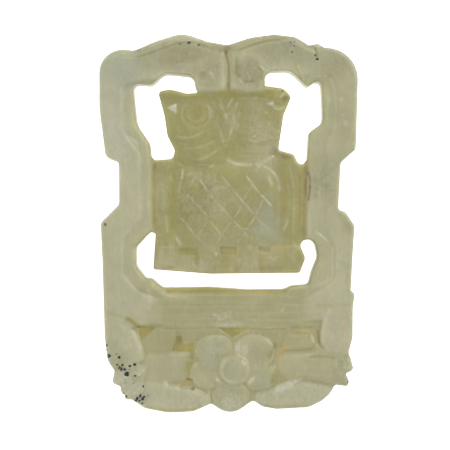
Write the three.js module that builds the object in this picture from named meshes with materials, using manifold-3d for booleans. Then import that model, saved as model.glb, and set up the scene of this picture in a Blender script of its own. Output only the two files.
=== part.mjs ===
import * as THREE from 'three';
import { mergeVertices } from 'three/addons/utils/BufferGeometryUtils.js';
import Module from 'manifold-3d';

// Pierced jade plaque: an owl inside a scrolled frame, a flower and leaves below.
// Millimetres. It lies on its flat back: X across, Y towards the scrolls, Z out of the carved face.

const STONE_COLOUR = 0x9da07a;
const STONE_ROUGHNESS = 0.3;

// Heights of the carved levels above the flat back.
const BLANK_TOP = 6.5;
const GROUND_TOP = 4.2;
const BAND_TOP = 5.2;
const FACE_TOP = 5.8;
const BAR_TOP = 5.5;
const SCROLL_TOP = 6.3;
const WING_TOP = 4.4;
const HEAD_TOP = 4.9;
const CHEEK_TOP = 5.4;
const BEAK_TOP = 5.8;
const BELLY_TOP = 5.6;
const FOOT_TOP = 4.9;
const PETAL_TOP = 6.1;
const BOSS_TOP = 6.3;

// Worn round-over along every sawn edge: how far in, how far down.
const EDGE_INSET = 0.45;
const EDGE_DROP = 1.7;
const BACK_CUT = 0.9;
const EDGE_STEPS = 2;
const STEP_BEVEL = 0.3;
const CHORD_ERROR = 0.045;
const BIG = 100;

// Outlines are corners [x, y, radius].
const RIM = [
  [-0.2, 28.15, 0.8], [-3.2, 28.75, 3], [-7.2, 30.55, 5.5], [-14.9, 27.5, 1], [-18, 27.95, 2],
  [-20.6, 25.1, 2.6], [-20.65, 18.5, 16], [-19.65, 10.5, 1.1], [-17.35, 9.75, 0.7], [-17.2, 2.9, 0.7],
  [-20.25, 0, 0.9], [-19.8, -18, 9], [-19.15, -21.7, 2.5], [-18.1, -23.3, 0.3], [-18.5, -25.25, 0.5],
  [-17.2, -25.75, 0.3], [-17, -26.85, 0], [-16.35, -27.1, 0], [-16.25, -27.8, 0], [-15.3, -27.8, 0.5],
  [-13.4, -29.2, 2], [-9.5, -30, 6], [-5.6, -29.75, 2], [-2.65, -28.3, 0.35], [0.3, -30.75, 3.1],
  [3.75, -27.7, 0.8], [5.3, -28.95, 1.2], [7.6, -29.35, 2], [13.2, -29.15, 3], [15.2, -28.2, 1.5],
  [16.3, -27, 1], [16.9, -25.5, 0.5], [18.9, -25.8, 0], [19.15, -24.9, 0.5], [18.6, -23.75, 0.2],
  [19.85, -23.1, 0.5], [19.5, -21.6, 0.8], [19.05, -20.4, 0.8], [19.7, -18, 2], [19.75, -13, 5],
  [20.05, -11.1, 0.5], [19.4, -10.5, 0.4], [20, -0.2, 1.2], [18.5, 2, 1.4], [17.3, 2.2, 0.5],
  [17.75, 9.6, 1], [20.25, 11.6, 0.6], [20.75, 24.3, 3.2], [17.7, 28.15, 2.2], [15.2, 27.9, 0.7],
  [14.1, 28.45, 0.5], [12.8, 28.3, 0.4], [10.6, 29.7, 2.5], [7.2, 30.15, 4], [3.6, 29.6, 5],
];

// Inner edge of the frame: the two upper openings, the waist, the slot and the two scroll heads.
const WINDOW = [
  [-5.3, 23.45, 1.4], [-10.2, 23.75, 1.6], [-12.2, 21.7, 1.2], [-15, 22, 0.9], [-14.4, 15.8, 3],
  [-12.5, 12.8, 2], [-12.05, 8, 1], [-12.05, -1, 0.5], [-13.2, -2.1, 0.8], [-14.7, -3.7, 0.6],
  [-14.7, -6.6, 1.2], [-13.2, -8.6, 0.7], [-12.2, -8.7, 0.4], [-10.5, -10.15, 1.5], [8.8, -10.4, 1.5],
  [10, -9.8, 0.8], [12.7, -9.65, 0.8], [13.1, -7.6, 0.8], [14, -5.3, 1.5], [13.5, -2.7, 1.1],
  [12.2, -2.4, 0.4], [12.4, 8, 2], [12.6, 14.6, 0.9], [14.6, 16.1, 0.7], [14.75, 17, 0.8],
  [14.35, 23.1, 0.8], [12.4, 21.5, 0.4], [9.6, 24.15, 2.4], [5.65, 24.15, 1.3], [5.4, 21.5, 1],
  [2.9, 21.1, 1], [0, 21.9, 0.4], [-2.6, 21.1, 1], [-4.9, 21.3, 0.8],
];

// The owl, its wings running into the waist and its crown running under the scrolls.
const OWL = [
  [-5, 23, 0], [-4.9, 20.8, 0], [-6.5, 20.65, 1], [-9.3, 21.3, 2], [-11.1, 20.9, 0.6],
  [-10, 17.2, 6], [-9.55, 14, 2], [-8.35, 11.6, 0.6], [-8.8, 10.1, 0.8], [-13, 9.9, 0],
  [-13, -1.1, 0], [-11.55, -1.5, 0.3], [-11.95, -7.2, 0.5], [-5, -7.8, 8], [11.3, -7.75, 0.5],
  [12.2, -5.4, 0.5], [11.3, -3.3, 0.5], [11.9, -2.6, 0.4], [13.2, -2.3, 0], [13.2, 9.4, 0],
  [11, 9.4, 0.8], [10.2, 11, 0.6], [7.7, 11.7, 0.5], [8.5, 17.3, 3], [9.8, 20.1, 0.7],
  [8.6, 21.3, 0.9], [5, 22, 0], [4.8, 23, 0],
];

// Raised faces of the frame, one each side; the outer sides run past the rim.
const LEFT_FACE = [
  [-23, -15.4, 0], [-23, 26.9, 0], [-14.6, 26.8, 1], [-7, 29.5, 5], [-3.2, 28, 2],
  [-0.3, 27.3, 0.5], [-0.3, 20.5, 0], [-6, 20.5, 0], [-6, 22.6, 0], [-13.6, 22.6, 0.4],
  [-16.3, 21.9, 0.8], [-16.4, 15.2, 1.5], [-13.7, 11.3, 1.5], [-13.7, 0.6, 1], [-16.35, -2.4, 1],
  [-16.4, -8, 1], [-14.2, -10.8, 1], [-14.2, -15.4, 0.5],
];
const RIGHT_FACE = [
  [23, -13.6, 0], [13.2, -13.6, 0.5], [13.2, -11, 1], [16.5, -8.4, 1], [16.5, -3.4, 1.5],
  [15, -0.7, 1.5], [15.1, 13.5, 1.5], [16.9, 16.4, 1.5], [16.7, 23.8, 1], [12.6, 23.1, 0.5],
  [5.6, 23, 0], [5.6, 20.5, 0], [0.1, 20.5, 0], [0.1, 27.3, 0.5], [3, 28.3, 2],
  [7.1, 29.5, 4], [10.4, 28.8, 2], [13.8, 26.9, 1], [23, 27.2, 0],
];

// Leaves, bud and lobes round the flower: height of the top, softening of its edge, corners.
const FOLIAGE = [
  { top: 5.7, soft: 0.5, corners: [[-23, -13.6, 0], [-17.4, -14, 1], [-15.3, -16.8, 3],
    [-14.1, -19.4, 2], [-13.5, -21.6, 0.7], [-16, -23, 1], [-23, -23.6, 0]] },
  { top: 5.1, soft: 0.4, corners: [[-23, -22.6, 0], [-15.4, -22.2, 1], [-13.2, -23.4, 1],
    [-13.6, -26, 1], [-15.2, -31, 0], [-23, -31, 0]] },
  { top: 5.2, soft: 0.4, corners: [[-12, -16.4, 0.5], [-8.1, -17.5, 0.5], [-9.5, -20.4, 0.5],
    [-13.3, -20.8, 0.5], [-13.5, -18.6, 0.8]] },
  { top: 5.4, soft: 0.6, corners: [[-13.4, -20.5, 1], [-9.6, -20.1, 0.7], [-5.6, -20.1, 0.7],
    [-6.1, -22.5, 1.5], [-5.5, -24.7, 0.7], [-9.3, -24.8, 1], [-13.6, -22.9, 0.8]] },
  { top: 5.8, soft: 0.8, corners: [[-14.2, -24.7, 1.2], [-9.2, -25.9, 1.5], [-5.2, -26.3, 1],
    [-2.9, -27.6, 1], [-2.6, -31, 0], [-16.4, -31, 0]] },
  { top: 5.7, soft: 0.5, corners: [[23, -12.4, 0], [16.4, -12.8, 1], [14.8, -15.6, 2],
    [14.6, -18.8, 1], [15.7, -20.1, 0.8], [23, -20.4, 0]] },
  { top: 4.9, soft: 0.4, corners: [[7, -18.3, 0.8], [9.8, -16.9, 0.8], [13.7, -17, 0.8],
    [14.1, -19.5, 0.8], [8, -20, 0.8]] },
  { top: 5.5, soft: 0.9, corners: [[8, -20.5, 1.5], [13, -20.1, 3], [17.4, -20.7, 1.5],
    [23, -20.6, 0], [23, -24.6, 0], [16.8, -25.6, 1.2], [12.5, -24.3, 4], [8.3, -25, 1.6],
    [7.2, -22.9, 1.6]] },
  { top: 5.8, soft: 0.8, corners: [[4.5, -26.6, 1], [8, -25.8, 2], [12.5, -24.9, 3],
    [17.4, -25.8, 1], [19, -31, 0], [3.8, -31, 0]] },
];

// Petals: centre, half width, half length, turn of the long axis in degrees.
const PETALS = [
  [-2.3, -20.2, 2.9, 2.7, 30], [4, -20.4, 3.2, 2.8, -25], [4.9, -24.3, 2.3, 2.5, -80],
  [0.3, -27.2, 2.7, 2.7, 0], [-3.6, -23.9, 2.3, 2.7, 75],
];
const PETAL_SOFT = { inset: 1.2, drop: 0.9, around: 16 };
const BOSS = { x: 0.9, y: -23, disc: 1.8, ringIn: 2.1, ringOut: 2.85 };

const EYES = [
  { x: -5.1, y: 17.6, rings: [2.15, 1.1], wire: 0.3, lift: 0.05 },
  { x: 3.8, y: 17.8, rings: [2.1, 1.05], wire: 0.26, lift: -0.02 },
];
const CHEEKS = [[-4.9, 15.6, 4.4, 5.2], [4, 15.6, 4.1, 5.2]];
const SCROLL_HEADS = [[-2.7, 23.7, 2.5, 2.8], [2.9, 23.7, 2.6, 2.8]];
const BEAK = [[-0.7, 17.4, 0], [-2, 15.9, 0], [-0.55, 12.4, 0], [0.7, 15.9, 0]];
const EAR_FACETS = [
  [[-10.2, 19.4, 0], [-7.6, 19.2, 0], [-8.2, 17.2, 0]],
  [[6, 19.4, 0], [9, 19.6, 0], [7.2, 17.6, 0]],
];
const EAR_TOP = 5.15;
const HEAD = [
  [-12, 22.8, 0], [-12, 12, 0], [-8.1, 10.2, 1], [-3.5, 9.2, 3], [2.5, 9.3, 3],
  [7, 10.8, 1.2], [12, 12, 0], [12, 22.8, 0],
];
const BELLY = [
  [-7.4, 9.2, 2.2], [-8.4, 3, 6], [-7.6, -3.6, 2], [7.4, -3.4, 2], [8.3, 3, 6], [7, 9.2, 2.2],
];

// Crossed grooves of the breast feathers: rise over run, spacing across, half depth.
const LATTICE = { down: -1.15, up: 1.5, pitch: 3.9, countDown: 3, countUp: 3, depth: 0.24 };
const LATTICE_CENTRE = [0.1, 2.6];
const LATTICE_REACH = 6.4;

const FEET = [[-3.2, -5.4, 1.3, 2], [3.1, -5.4, 1.4, 2]];
const FOOT_NOTCHES = [[-8.1, -4.7, -5.1], [-1.5, 1.4, -5], [4.5, 8, -4.4]];
const NOTCH_TOP = -3.6;
const NOTCH_FLOOR = 3.6;
const WING_GROOVES = [[-9.1, 9, -3.2], [-10.6, 8.5, -2.6], [8.9, 9, -3.2], [10.5, 8.8, -2.4]];
const WING_GROOVE_DEPTH = 0.3;
const SEAM = { x: -0.08, low: 21, high: 29, depth: 0.55 };

// Hollow run of the bar below the slot.
const BAR = { low: -16.25, high: -9, reach: 17 };
const COVE = { y: -13.9, radius: 14, depth: 0.5 };

const wasm = await Module();
wasm.setup();

/** Points of a closed outline whose corners are rounded by arcs. */
function roundedOutline(corners) {
  const points = [];
  corners.forEach(([x, y, radius], i) => {
    const corner = new THREE.Vector2(x, y);
    if (radius === 0) {
      points.push(corner);
      return;
    }
    const before = corners[(i + corners.length - 1) % corners.length];
    const after = corners[(i + 1) % corners.length];
    const toBefore = new THREE.Vector2(before[0] - x, before[1] - y).normalize();
    const toAfter = new THREE.Vector2(after[0] - x, after[1] - y).normalize();
    const half = Math.acos(THREE.MathUtils.clamp(toBefore.dot(toAfter), -1, 1)) / 2;
    const run = radius / Math.tan(half);
    const first = corner.clone().addScaledVector(toBefore, run);
    const last = corner.clone().addScaledVector(toAfter, run);
    const inward = toBefore.clone().add(toAfter).normalize();
    const centre = corner.clone().addScaledVector(inward, radius / Math.sin(half));
    const start = Math.atan2(first.y - centre.y, first.x - centre.x);
    const end = Math.atan2(last.y - centre.y, last.x - centre.x);
    const sweep = Math.atan2(Math.sin(end - start), Math.cos(end - start));
    const step = 2 * Math.acos(Math.max(1 - CHORD_ERROR / radius, 0.3));
    const count = Math.max(1, Math.ceil(Math.abs(sweep) / step));
    for (let k = 0; k <= count; k += 1) {
      const angle = start + (sweep * k) / count;
      points.push(new THREE.Vector2(
        centre.x + radius * Math.cos(angle),
        centre.y + radius * Math.sin(angle),
      ));
    }
  });
  return points;
}

/** A three.js geometry as a manifold solid. */
function toSolid(geometry) {
  const bare = geometry.clone();
  bare.deleteAttribute('normal');
  bare.deleteAttribute('uv');
  const indexed = mergeVertices(bare, 1e-5);
  return new wasm.Manifold(new wasm.Mesh({
    numProp: 3,
    vertProperties: new Float32Array(indexed.attributes.position.array),
    triVerts: new Uint32Array(indexed.index.array),
  }));
}

/** A manifold solid as a three.js geometry. */
function toGeometry(solid) {
  const mesh = solid.getMesh();
  const geometry = new THREE.BufferGeometry();
  geometry.setAttribute('position', new THREE.BufferAttribute(mesh.vertProperties, 3));
  geometry.setIndex(new THREE.BufferAttribute(mesh.triVerts, 1));
  geometry.computeVertexNormals();
  return geometry;
}

/** An outline raised from one height to another, its edges bevelled. */
function raised(corners, holes, bottom, top, inset, drop, steps) {
  return raisedShape(new THREE.Shape(roundedOutline(corners)), holes, bottom, top, inset, drop, steps);
}

/** A shape raised from one height to another, its edges bevelled. */
function raisedShape(shape, holes, bottom, top, inset, drop, steps) {
  holes.forEach((hole) => shape.holes.push(new THREE.Path(roundedOutline(hole))));
  const geometry = new THREE.ExtrudeGeometry(shape, {
    depth: top - bottom - 2 * drop,
    bevelEnabled: inset > 0,
    bevelSize: inset,
    bevelOffset: -inset,
    bevelThickness: drop,
    bevelSegments: steps,
  });
  geometry.translate(0, 0, bottom + drop);
  return toSolid(geometry);
}

/** An oval outline about a centre, turned by an angle in degrees. */
function oval(x, y, halfWidth, halfLength, turn) {
  const curve = new THREE.EllipseCurve(
    x, y, halfWidth, halfLength, 0, 2 * Math.PI, false, THREE.MathUtils.degToRad(turn),
  );
  return new THREE.Shape(curve.getPoints(PETAL_SOFT.around).slice(0, -1));
}

/** A box between two corners. */
function block(low, high) {
  const geometry = new THREE.BoxGeometry(high[0] - low[0], high[1] - low[1], high[2] - low[2]);
  geometry.translate((low[0] + high[0]) / 2, (low[1] + high[1]) / 2, (low[2] + high[2]) / 2);
  return toSolid(geometry);
}

/** A lens-like swelling whose crown stands at a height and whose foot is buried at another. */
function swelling(x, y, halfWidth, halfLength, foot, top, turn = 0, around = 20, up = 8) {
  const geometry = new THREE.SphereGeometry(1, around, up);
  geometry.rotateX(Math.PI / 2);
  geometry.scale(halfWidth, halfLength, top - foot);
  geometry.rotateZ(THREE.MathUtils.degToRad(turn));
  geometry.translate(x, y, foot);
  return toSolid(geometry);
}

/** A V-shaped cutter along a straight stroke at a height. */
function stroke(from, to, height, depth) {
  const path = new THREE.LineCurve3(
    new THREE.Vector3(from[0], from[1], height),
    new THREE.Vector3(to[0], to[1], height),
  );
  const section = new THREE.Shape([
    new THREE.Vector2(-depth, 0),
    new THREE.Vector2(0, -depth),
    new THREE.Vector2(depth, 0),
    new THREE.Vector2(0, depth),
  ]);
  return toSolid(new THREE.ExtrudeGeometry(section, { steps: 1, extrudePath: path }));
}

/** A raised ring lying flat. */
function ring(x, y, radius, wire, height) {
  const geometry = new THREE.TorusGeometry(radius, wire, 4, 22);
  geometry.translate(x, y, height);
  return toSolid(geometry);
}

/** The sawn blank of a region: edges rounded over in front, lightly broken behind. */
function blank(corners, holes, top) {
  const full = raised(corners, holes, -BACK_CUT, top, EDGE_INSET, EDGE_DROP, EDGE_STEPS);
  return full.intersect(block([-BIG, -BIG, 0], [BIG, BIG, BIG]));
}

function union(solids) {
  return solids.reduce((whole, solid) => whole.add(solid));
}

function frameRelief() {
  const pieces = [
    block([-BIG, -BIG, -1], [BIG, BIG, GROUND_TOP]),
    block([-BIG, BAR.high, 0], [BIG, BIG, BAND_TOP]),
    block([-BAR.reach, BAR.low, 0], [BAR.reach, BAR.high + 1, BAR_TOP]),
    raised(LEFT_FACE, [], 1, FACE_TOP, STEP_BEVEL, STEP_BEVEL, 1),
    raised(RIGHT_FACE, [], 1, FACE_TOP, STEP_BEVEL, STEP_BEVEL, 1),
  ];
  SCROLL_HEADS.forEach(([x, y, halfWidth, halfLength]) => {
    pieces.push(swelling(x, y, halfWidth, halfLength, GROUND_TOP, SCROLL_TOP));
  });
  FOLIAGE.forEach(({ top, soft, corners }) => {
    pieces.push(raised(corners, [], 1, top, soft, soft * 0.6, 2));
  });
  PETALS.forEach((petal) => {
    pieces.push(raisedShape(oval(...petal), [], 1, PETAL_TOP, PETAL_SOFT.inset, PETAL_SOFT.drop, 3));
  });
  const cove = new THREE.CylinderGeometry(COVE.radius, COVE.radius, 2 * BAR.reach - 6, 64);
  cove.rotateZ(Math.PI / 2);
  cove.translate(0, COVE.y, BAR_TOP - COVE.depth + COVE.radius);
  return union(pieces)
    .subtract(toSolid(cove).intersect(block([-BIG, BAR.low, 0], [BIG, BIG, BIG])))
    .subtract(stroke([SEAM.x, SEAM.low], [SEAM.x, SEAM.high], FACE_TOP + 0.2, SEAM.depth + 0.2))
    .add(boss());
}

/** Flower boss: a low disc in a ring. */
function boss() {
  const floor = PETAL_TOP - 0.6;
  const crest = (BOSS.ringIn + BOSS.ringOut) / 2;
  const profile = [
    [0, 1], [BOSS.ringOut + 0.3, 1], [BOSS.ringOut + 0.2, floor - 0.4], [crest, BOSS_TOP],
    [BOSS.ringIn, floor], [BOSS.disc, floor], [BOSS.disc - 0.5, BOSS_TOP - 0.15], [0, BOSS_TOP],
  ].map(([radius, height]) => new THREE.Vector2(radius, height));
  const geometry = new THREE.LatheGeometry(profile, 26);
  geometry.rotateX(Math.PI / 2);
  geometry.translate(BOSS.x, BOSS.y, 0);
  return toSolid(geometry);
}

/** Straight strokes of the lattice, in both directions, kept on the belly. */
function latticeStrokes() {
  const cutters = [];
  [[LATTICE.down, LATTICE.countDown], [LATTICE.up, LATTICE.countUp]].forEach(([rise, count]) => {
    const length = Math.hypot(1, rise);
    for (let k = 0; k < count; k += 1) {
      const x = LATTICE_CENTRE[0] + (k - (count - 1) / 2) * LATTICE.pitch;
      const reach = LATTICE_REACH - Math.abs(k - (count - 1) / 2) * 0.7;
      const dx = reach / length;
      const dy = (rise * reach) / length;
      cutters.push(stroke(
        [x - dx, LATTICE_CENTRE[1] - dy], [x + dx, LATTICE_CENTRE[1] + dy], BELLY_TOP, LATTICE.depth,
      ));
    }
  });
  return cutters;
}

function owlRelief() {
  const pieces = [
    block([-BIG, -BIG, -1], [BIG, BIG, WING_TOP]),
    raised(HEAD, [], 1, HEAD_TOP, 0.5, 0.4, 1),
    raised(BELLY, [], 1, BELLY_TOP, 1.8, 1.1, 4),
    raised(BEAK, [], 2, BEAK_TOP, 0.5, 0.5, 1),
  ];
  CHEEKS.forEach(([x, y, halfWidth, halfLength]) => {
    pieces.push(swelling(x, y, halfWidth, halfLength, GROUND_TOP, CHEEK_TOP));
  });
  EYES.forEach(({ x, y, rings, wire, lift }) => {
    rings.forEach((radius) => pieces.push(ring(x, y, radius, wire, CHEEK_TOP - 0.2 + lift)));
  });
  EAR_FACETS.forEach((corners) => pieces.push(raised(corners, [], 2, EAR_TOP, 0.25, 0.25, 1)));
  FEET.forEach(([x, y, halfWidth, halfLength]) => {
    pieces.push(swelling(x, y, halfWidth, halfLength, WING_TOP - 0.5, FOOT_TOP, 0, 12, 6));
  });
  const cutters = latticeStrokes();
  FOOT_NOTCHES.forEach(([left, right, low]) => {
    cutters.push(block([left, low, NOTCH_FLOOR], [right, NOTCH_TOP, WING_TOP + 0.3]));
  });
  WING_GROOVES.forEach(([x, high, low]) => {
    cutters.push(stroke([x, low], [x, high], WING_TOP, WING_GROOVE_DEPTH));
  });
  return cutters.reduce((solid, cutter) => solid.subtract(cutter), union(pieces));
}

const frame = frameRelief().intersect(blank(RIM, [WINDOW], BLANK_TOP));
const owl = owlRelief().intersect(blank(OWL, [], BEAK_TOP + 0.1));
const geometry = toGeometry(frame.add(owl));
geometry.computeBoundingBox();
const middle = geometry.boundingBox.getCenter(new THREE.Vector3());
geometry.translate(-middle.x, -middle.y, 0);

const plaque = new THREE.Mesh(geometry, new THREE.MeshStandardMaterial({
  color: STONE_COLOUR,
  roughness: STONE_ROUGHNESS,
  metalness: 0,
}));
plaque.name = 'jade_plaque';

const group = new THREE.Group();
group.name = 'pierced_jade_plaque';
group.add(plaque);
export default group;
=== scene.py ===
"""Pierced jade plaque: an owl in a scrolled frame, with a flower and leaves below.

The whole plaque is one stone, so one mesh carries it. Each part of the design is a class that
cuts its own forms and strokes into a shared relief; the stone is then meshed and polished.
Sizes are in millimetres until the mesh is written, which is in metres.
"""

import logging
import math
from dataclasses import dataclass, field
from enum import Enum
from typing import Callable, Sequence

import bpy
import numpy as np
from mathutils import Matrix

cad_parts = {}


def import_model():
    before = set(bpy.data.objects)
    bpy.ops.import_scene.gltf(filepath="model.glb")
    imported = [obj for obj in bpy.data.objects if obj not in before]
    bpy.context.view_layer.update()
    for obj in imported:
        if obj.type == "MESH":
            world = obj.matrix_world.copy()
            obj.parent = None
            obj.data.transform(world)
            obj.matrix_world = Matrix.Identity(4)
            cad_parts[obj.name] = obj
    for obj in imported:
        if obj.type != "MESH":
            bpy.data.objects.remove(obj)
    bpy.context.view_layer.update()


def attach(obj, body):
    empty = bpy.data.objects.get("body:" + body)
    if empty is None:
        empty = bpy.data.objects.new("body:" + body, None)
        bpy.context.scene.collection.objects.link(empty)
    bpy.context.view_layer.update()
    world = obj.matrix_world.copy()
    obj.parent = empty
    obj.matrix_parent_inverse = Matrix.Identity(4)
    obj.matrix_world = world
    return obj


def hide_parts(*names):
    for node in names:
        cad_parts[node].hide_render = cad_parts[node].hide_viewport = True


LOG = logging.getLogger("jade_plaque")
MM = 0.001
Corner = tuple[float, float, float]
Point = tuple[float, float]


# ---------------------------------------------------------------- plain geometry


def smooth(t: np.ndarray) -> np.ndarray:
    """Ease from 0 to 1 with flat ends."""
    t = np.clip(t, 0.0, 1.0)
    return t * t * (3.0 - 2.0 * t)


def worn_rise(depth: np.ndarray, width: float) -> np.ndarray:
    """Rise of a worn edge, 0 at the outline and 1 once the depth reaches the width."""
    t = np.clip(depth / width, 0.0, 1.0)
    return t * (2.0 - t) * 0.6 + smooth(t) * 0.4


def soft_max(a: np.ndarray, b: np.ndarray, blend: float) -> np.ndarray:
    """The higher of two surfaces, with the crease between them worn over a blend height."""
    t = np.clip(0.5 + 0.5 * (a - b) / blend, 0.0, 1.0)
    return b + (a - b) * t + blend * t * (1.0 - t)


def value_noise(x: np.ndarray, y: np.ndarray, size: float, seed: int) -> np.ndarray:
    """Smooth seeded noise from -1 to 1.

    Args:
        x: Places across, in millimetres.
        y: Places along, in millimetres.
        size: Spacing of its lumps, in millimetres.
        seed: Which pattern it is.

    Returns:
        The noise at each place.
    """
    lattice = np.random.default_rng(seed).uniform(-1.0, 1.0, (128, 128))
    u, v = x / size + 61.3, y / size + 47.7
    i, j = np.floor(u).astype(int), np.floor(v).astype(int)
    s, t = smooth(u - i), smooth(v - j)
    low = lattice[i % 128, j % 128] * (1 - s) + lattice[(i + 1) % 128, j % 128] * s
    high = lattice[i % 128, (j + 1) % 128] * (1 - s) + lattice[(i + 1) % 128, (j + 1) % 128] * s
    return low * (1 - t) + high * t


def rounded_outline(corners: Sequence[Corner], chord: float = 0.012) -> np.ndarray:
    """Points of a closed outline whose corners are rounded by arcs.

    Args:
        corners: Each corner's place and radius.
        chord: How far a chord may stray from its arc.

    Returns:
        An array of points, one row each.
    """
    points: list[np.ndarray] = []
    for i, (x, y, radius) in enumerate(corners):
        corner = np.array((x, y))
        if radius == 0:
            points.append(corner)
            continue
        before = np.array(corners[i - 1][:2]) - corner
        after = np.array(corners[(i + 1) % len(corners)][:2]) - corner
        before /= np.linalg.norm(before)
        after /= np.linalg.norm(after)
        half = math.acos(max(-1.0, min(1.0, float(before @ after)))) / 2
        run = radius / math.tan(half)
        inward = (before + after) / np.linalg.norm(before + after)
        centre = corner + inward * radius / math.sin(half)
        first, last = corner + before * run - centre, corner + after * run - centre
        start, end = math.atan2(first[1], first[0]), math.atan2(last[1], last[0])
        sweep = math.atan2(math.sin(end - start), math.cos(end - start))
        step = 2 * math.acos(max(1 - chord / radius, 0.3))
        count = max(1, math.ceil(abs(sweep) / step))
        angles = start + sweep * np.arange(count + 1) / count
        points.extend(centre + radius * np.stack((np.cos(angles), np.sin(angles)), axis=1))
    return np.array(points)


def oval_outline(x: float, y: float, half_width: float, half_length: float, turn: float) -> np.ndarray:
    """Points of an oval about a centre, its own axes turned by an angle in degrees."""
    t = np.linspace(0, 2 * math.pi, 72, endpoint=False)
    u, v = half_width * np.cos(t), half_length * np.sin(t)
    c, s = math.cos(math.radians(turn)), math.sin(math.radians(turn))
    return np.stack((x + c * u - s * v, y + s * u + c * v), axis=1)


def segment_distance(x: np.ndarray, y: np.ndarray, a: np.ndarray, b: np.ndarray) -> tuple[np.ndarray, np.ndarray]:
    """Distance from places to one straight segment, and how far along it the nearest point is."""
    run = b - a
    along = np.clip(((x - a[0]) * run[0] + (y - a[1]) * run[1]) / max(float(run @ run), 1e-12), 0, 1)
    return np.hypot(x - a[0] - along * run[0], y - a[1] - along * run[1]), along


def inside_depth(x: np.ndarray, y: np.ndarray, outline: np.ndarray) -> np.ndarray:
    """Distance to an outline, positive inside it and negative outside."""
    nearest = np.full(x.shape, np.inf)
    odd = np.zeros(x.shape, dtype=bool)
    for i, b in enumerate(outline):
        a = outline[i - 1]
        nearest = np.minimum(nearest, segment_distance(x, y, a, b)[0])
        if a[1] != b[1]:
            crossing = (a[1] > y) != (b[1] > y)
            odd ^= crossing & (x < (b[0] - a[0]) * (y - a[1]) / (b[1] - a[1]) + a[0])
    return np.where(odd, nearest, -nearest)


# ---------------------------------------------------------------- the relief


class Trace(Enum):
    """What the surface carries besides its shape; each becomes a mesh attribute."""

    PALE = "pale"
    OLIVE = "olive"
    SHADE = "shade"
    WEAR_AND_HIGHLIGHT = "worn"
    MILK = "milk"
    SMOKE = "smoke"
    RUST = "rust"
    AMBER = "amber"
    SPECK = "speck"
    FROST = "frost"
    GRIME_AND_RIM_SHADE = "grime"


@dataclass(frozen=True)
class Form:
    """A raised form: its outline, its top, and how its edges fall.

    Attributes:
        corners: Corners of the outline with their radii.
        top: Height of its top where the edge has finished rising.
        soft: Width of its rounded edge.
        foot: Height at which its edge starts.
        crown: Extra height in its middle.
        reach: Depth at which the crown is full.
        blend: How far the crease with its neighbours is worn.
        pale: How pale the stone looks on it.
        rim: Strength of the pale line along its edge, partly wear and partly a painted highlight.
        olive: How olive and dark the crease round it is painted, partly the stone's own tint and partly painted shade.
        oval: Centre, half axes and turn, for an oval instead of corners.
    """

    corners: tuple[Corner, ...]
    top: float
    soft: float
    foot: float = 4.9
    crown: float = 0.0
    reach: float = 1.0
    blend: float = 0.12
    pale: float = 0.0
    rim: float = 0.0
    olive: float = 0.0
    oval: tuple[float, float, float, float, float] | None = None

    def points(self) -> np.ndarray:
        """Points of its outline."""
        return oval_outline(*self.oval) if self.oval else rounded_outline(self.corners)


@dataclass(frozen=True)
class Stroke:
    """An incised stroke through a few points, with what it does to the colour."""

    through: tuple[Point, ...]
    # worn: strength of the pale line, partly wear and partly painted highlight.
    worn: float = 0.3
    width: float = 0.15
    depth: float = 0.05
    olive: float = 0.0
    # flank: strength of the painted shadow along both sides of the stroke.
    flank: float = 0.0

    def curve(self) -> np.ndarray:
        """Points of the smooth curve through its points."""
        knots = np.array(self.through)
        if len(knots) == 2:
            return knots
        padded = np.concatenate((2 * knots[:1] - knots[1:2], knots, 2 * knots[-1:] - knots[-2:-1]))
        t = np.linspace(0, 1, 7)[:, None]
        pieces = []
        for a, b, c, d in zip(padded, padded[1:], padded[2:], padded[3:]):
            bend = 2 * a - 5 * b + 4 * c - d
            swing = 3 * b - a - 3 * c + d
            pieces.append(0.5 * (2 * b + (c - a) * t + bend * t**2 + swing * t**3)[:-1])
        return np.concatenate(pieces + [knots[-1:]])


@dataclass(frozen=True)
class Gap:
    """A drilled recess: its mouth, the height of its floor, and how the floor climbs."""

    corners: tuple[Corner, ...]
    floor: float
    soft: float = 0.45
    climb: Point = (0.0, 0.0)
    olive: float = 1.0
    rust: float = 0.0


@dataclass(frozen=True)
class Patch:
    """A cloud, stain or speck in the stone."""

    x: float
    y: float
    half_width: float
    half_length: float
    strength: float
    turn: float = 0.0
    fuzz: float = 0.7
    ragged: float = 0.5


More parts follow.
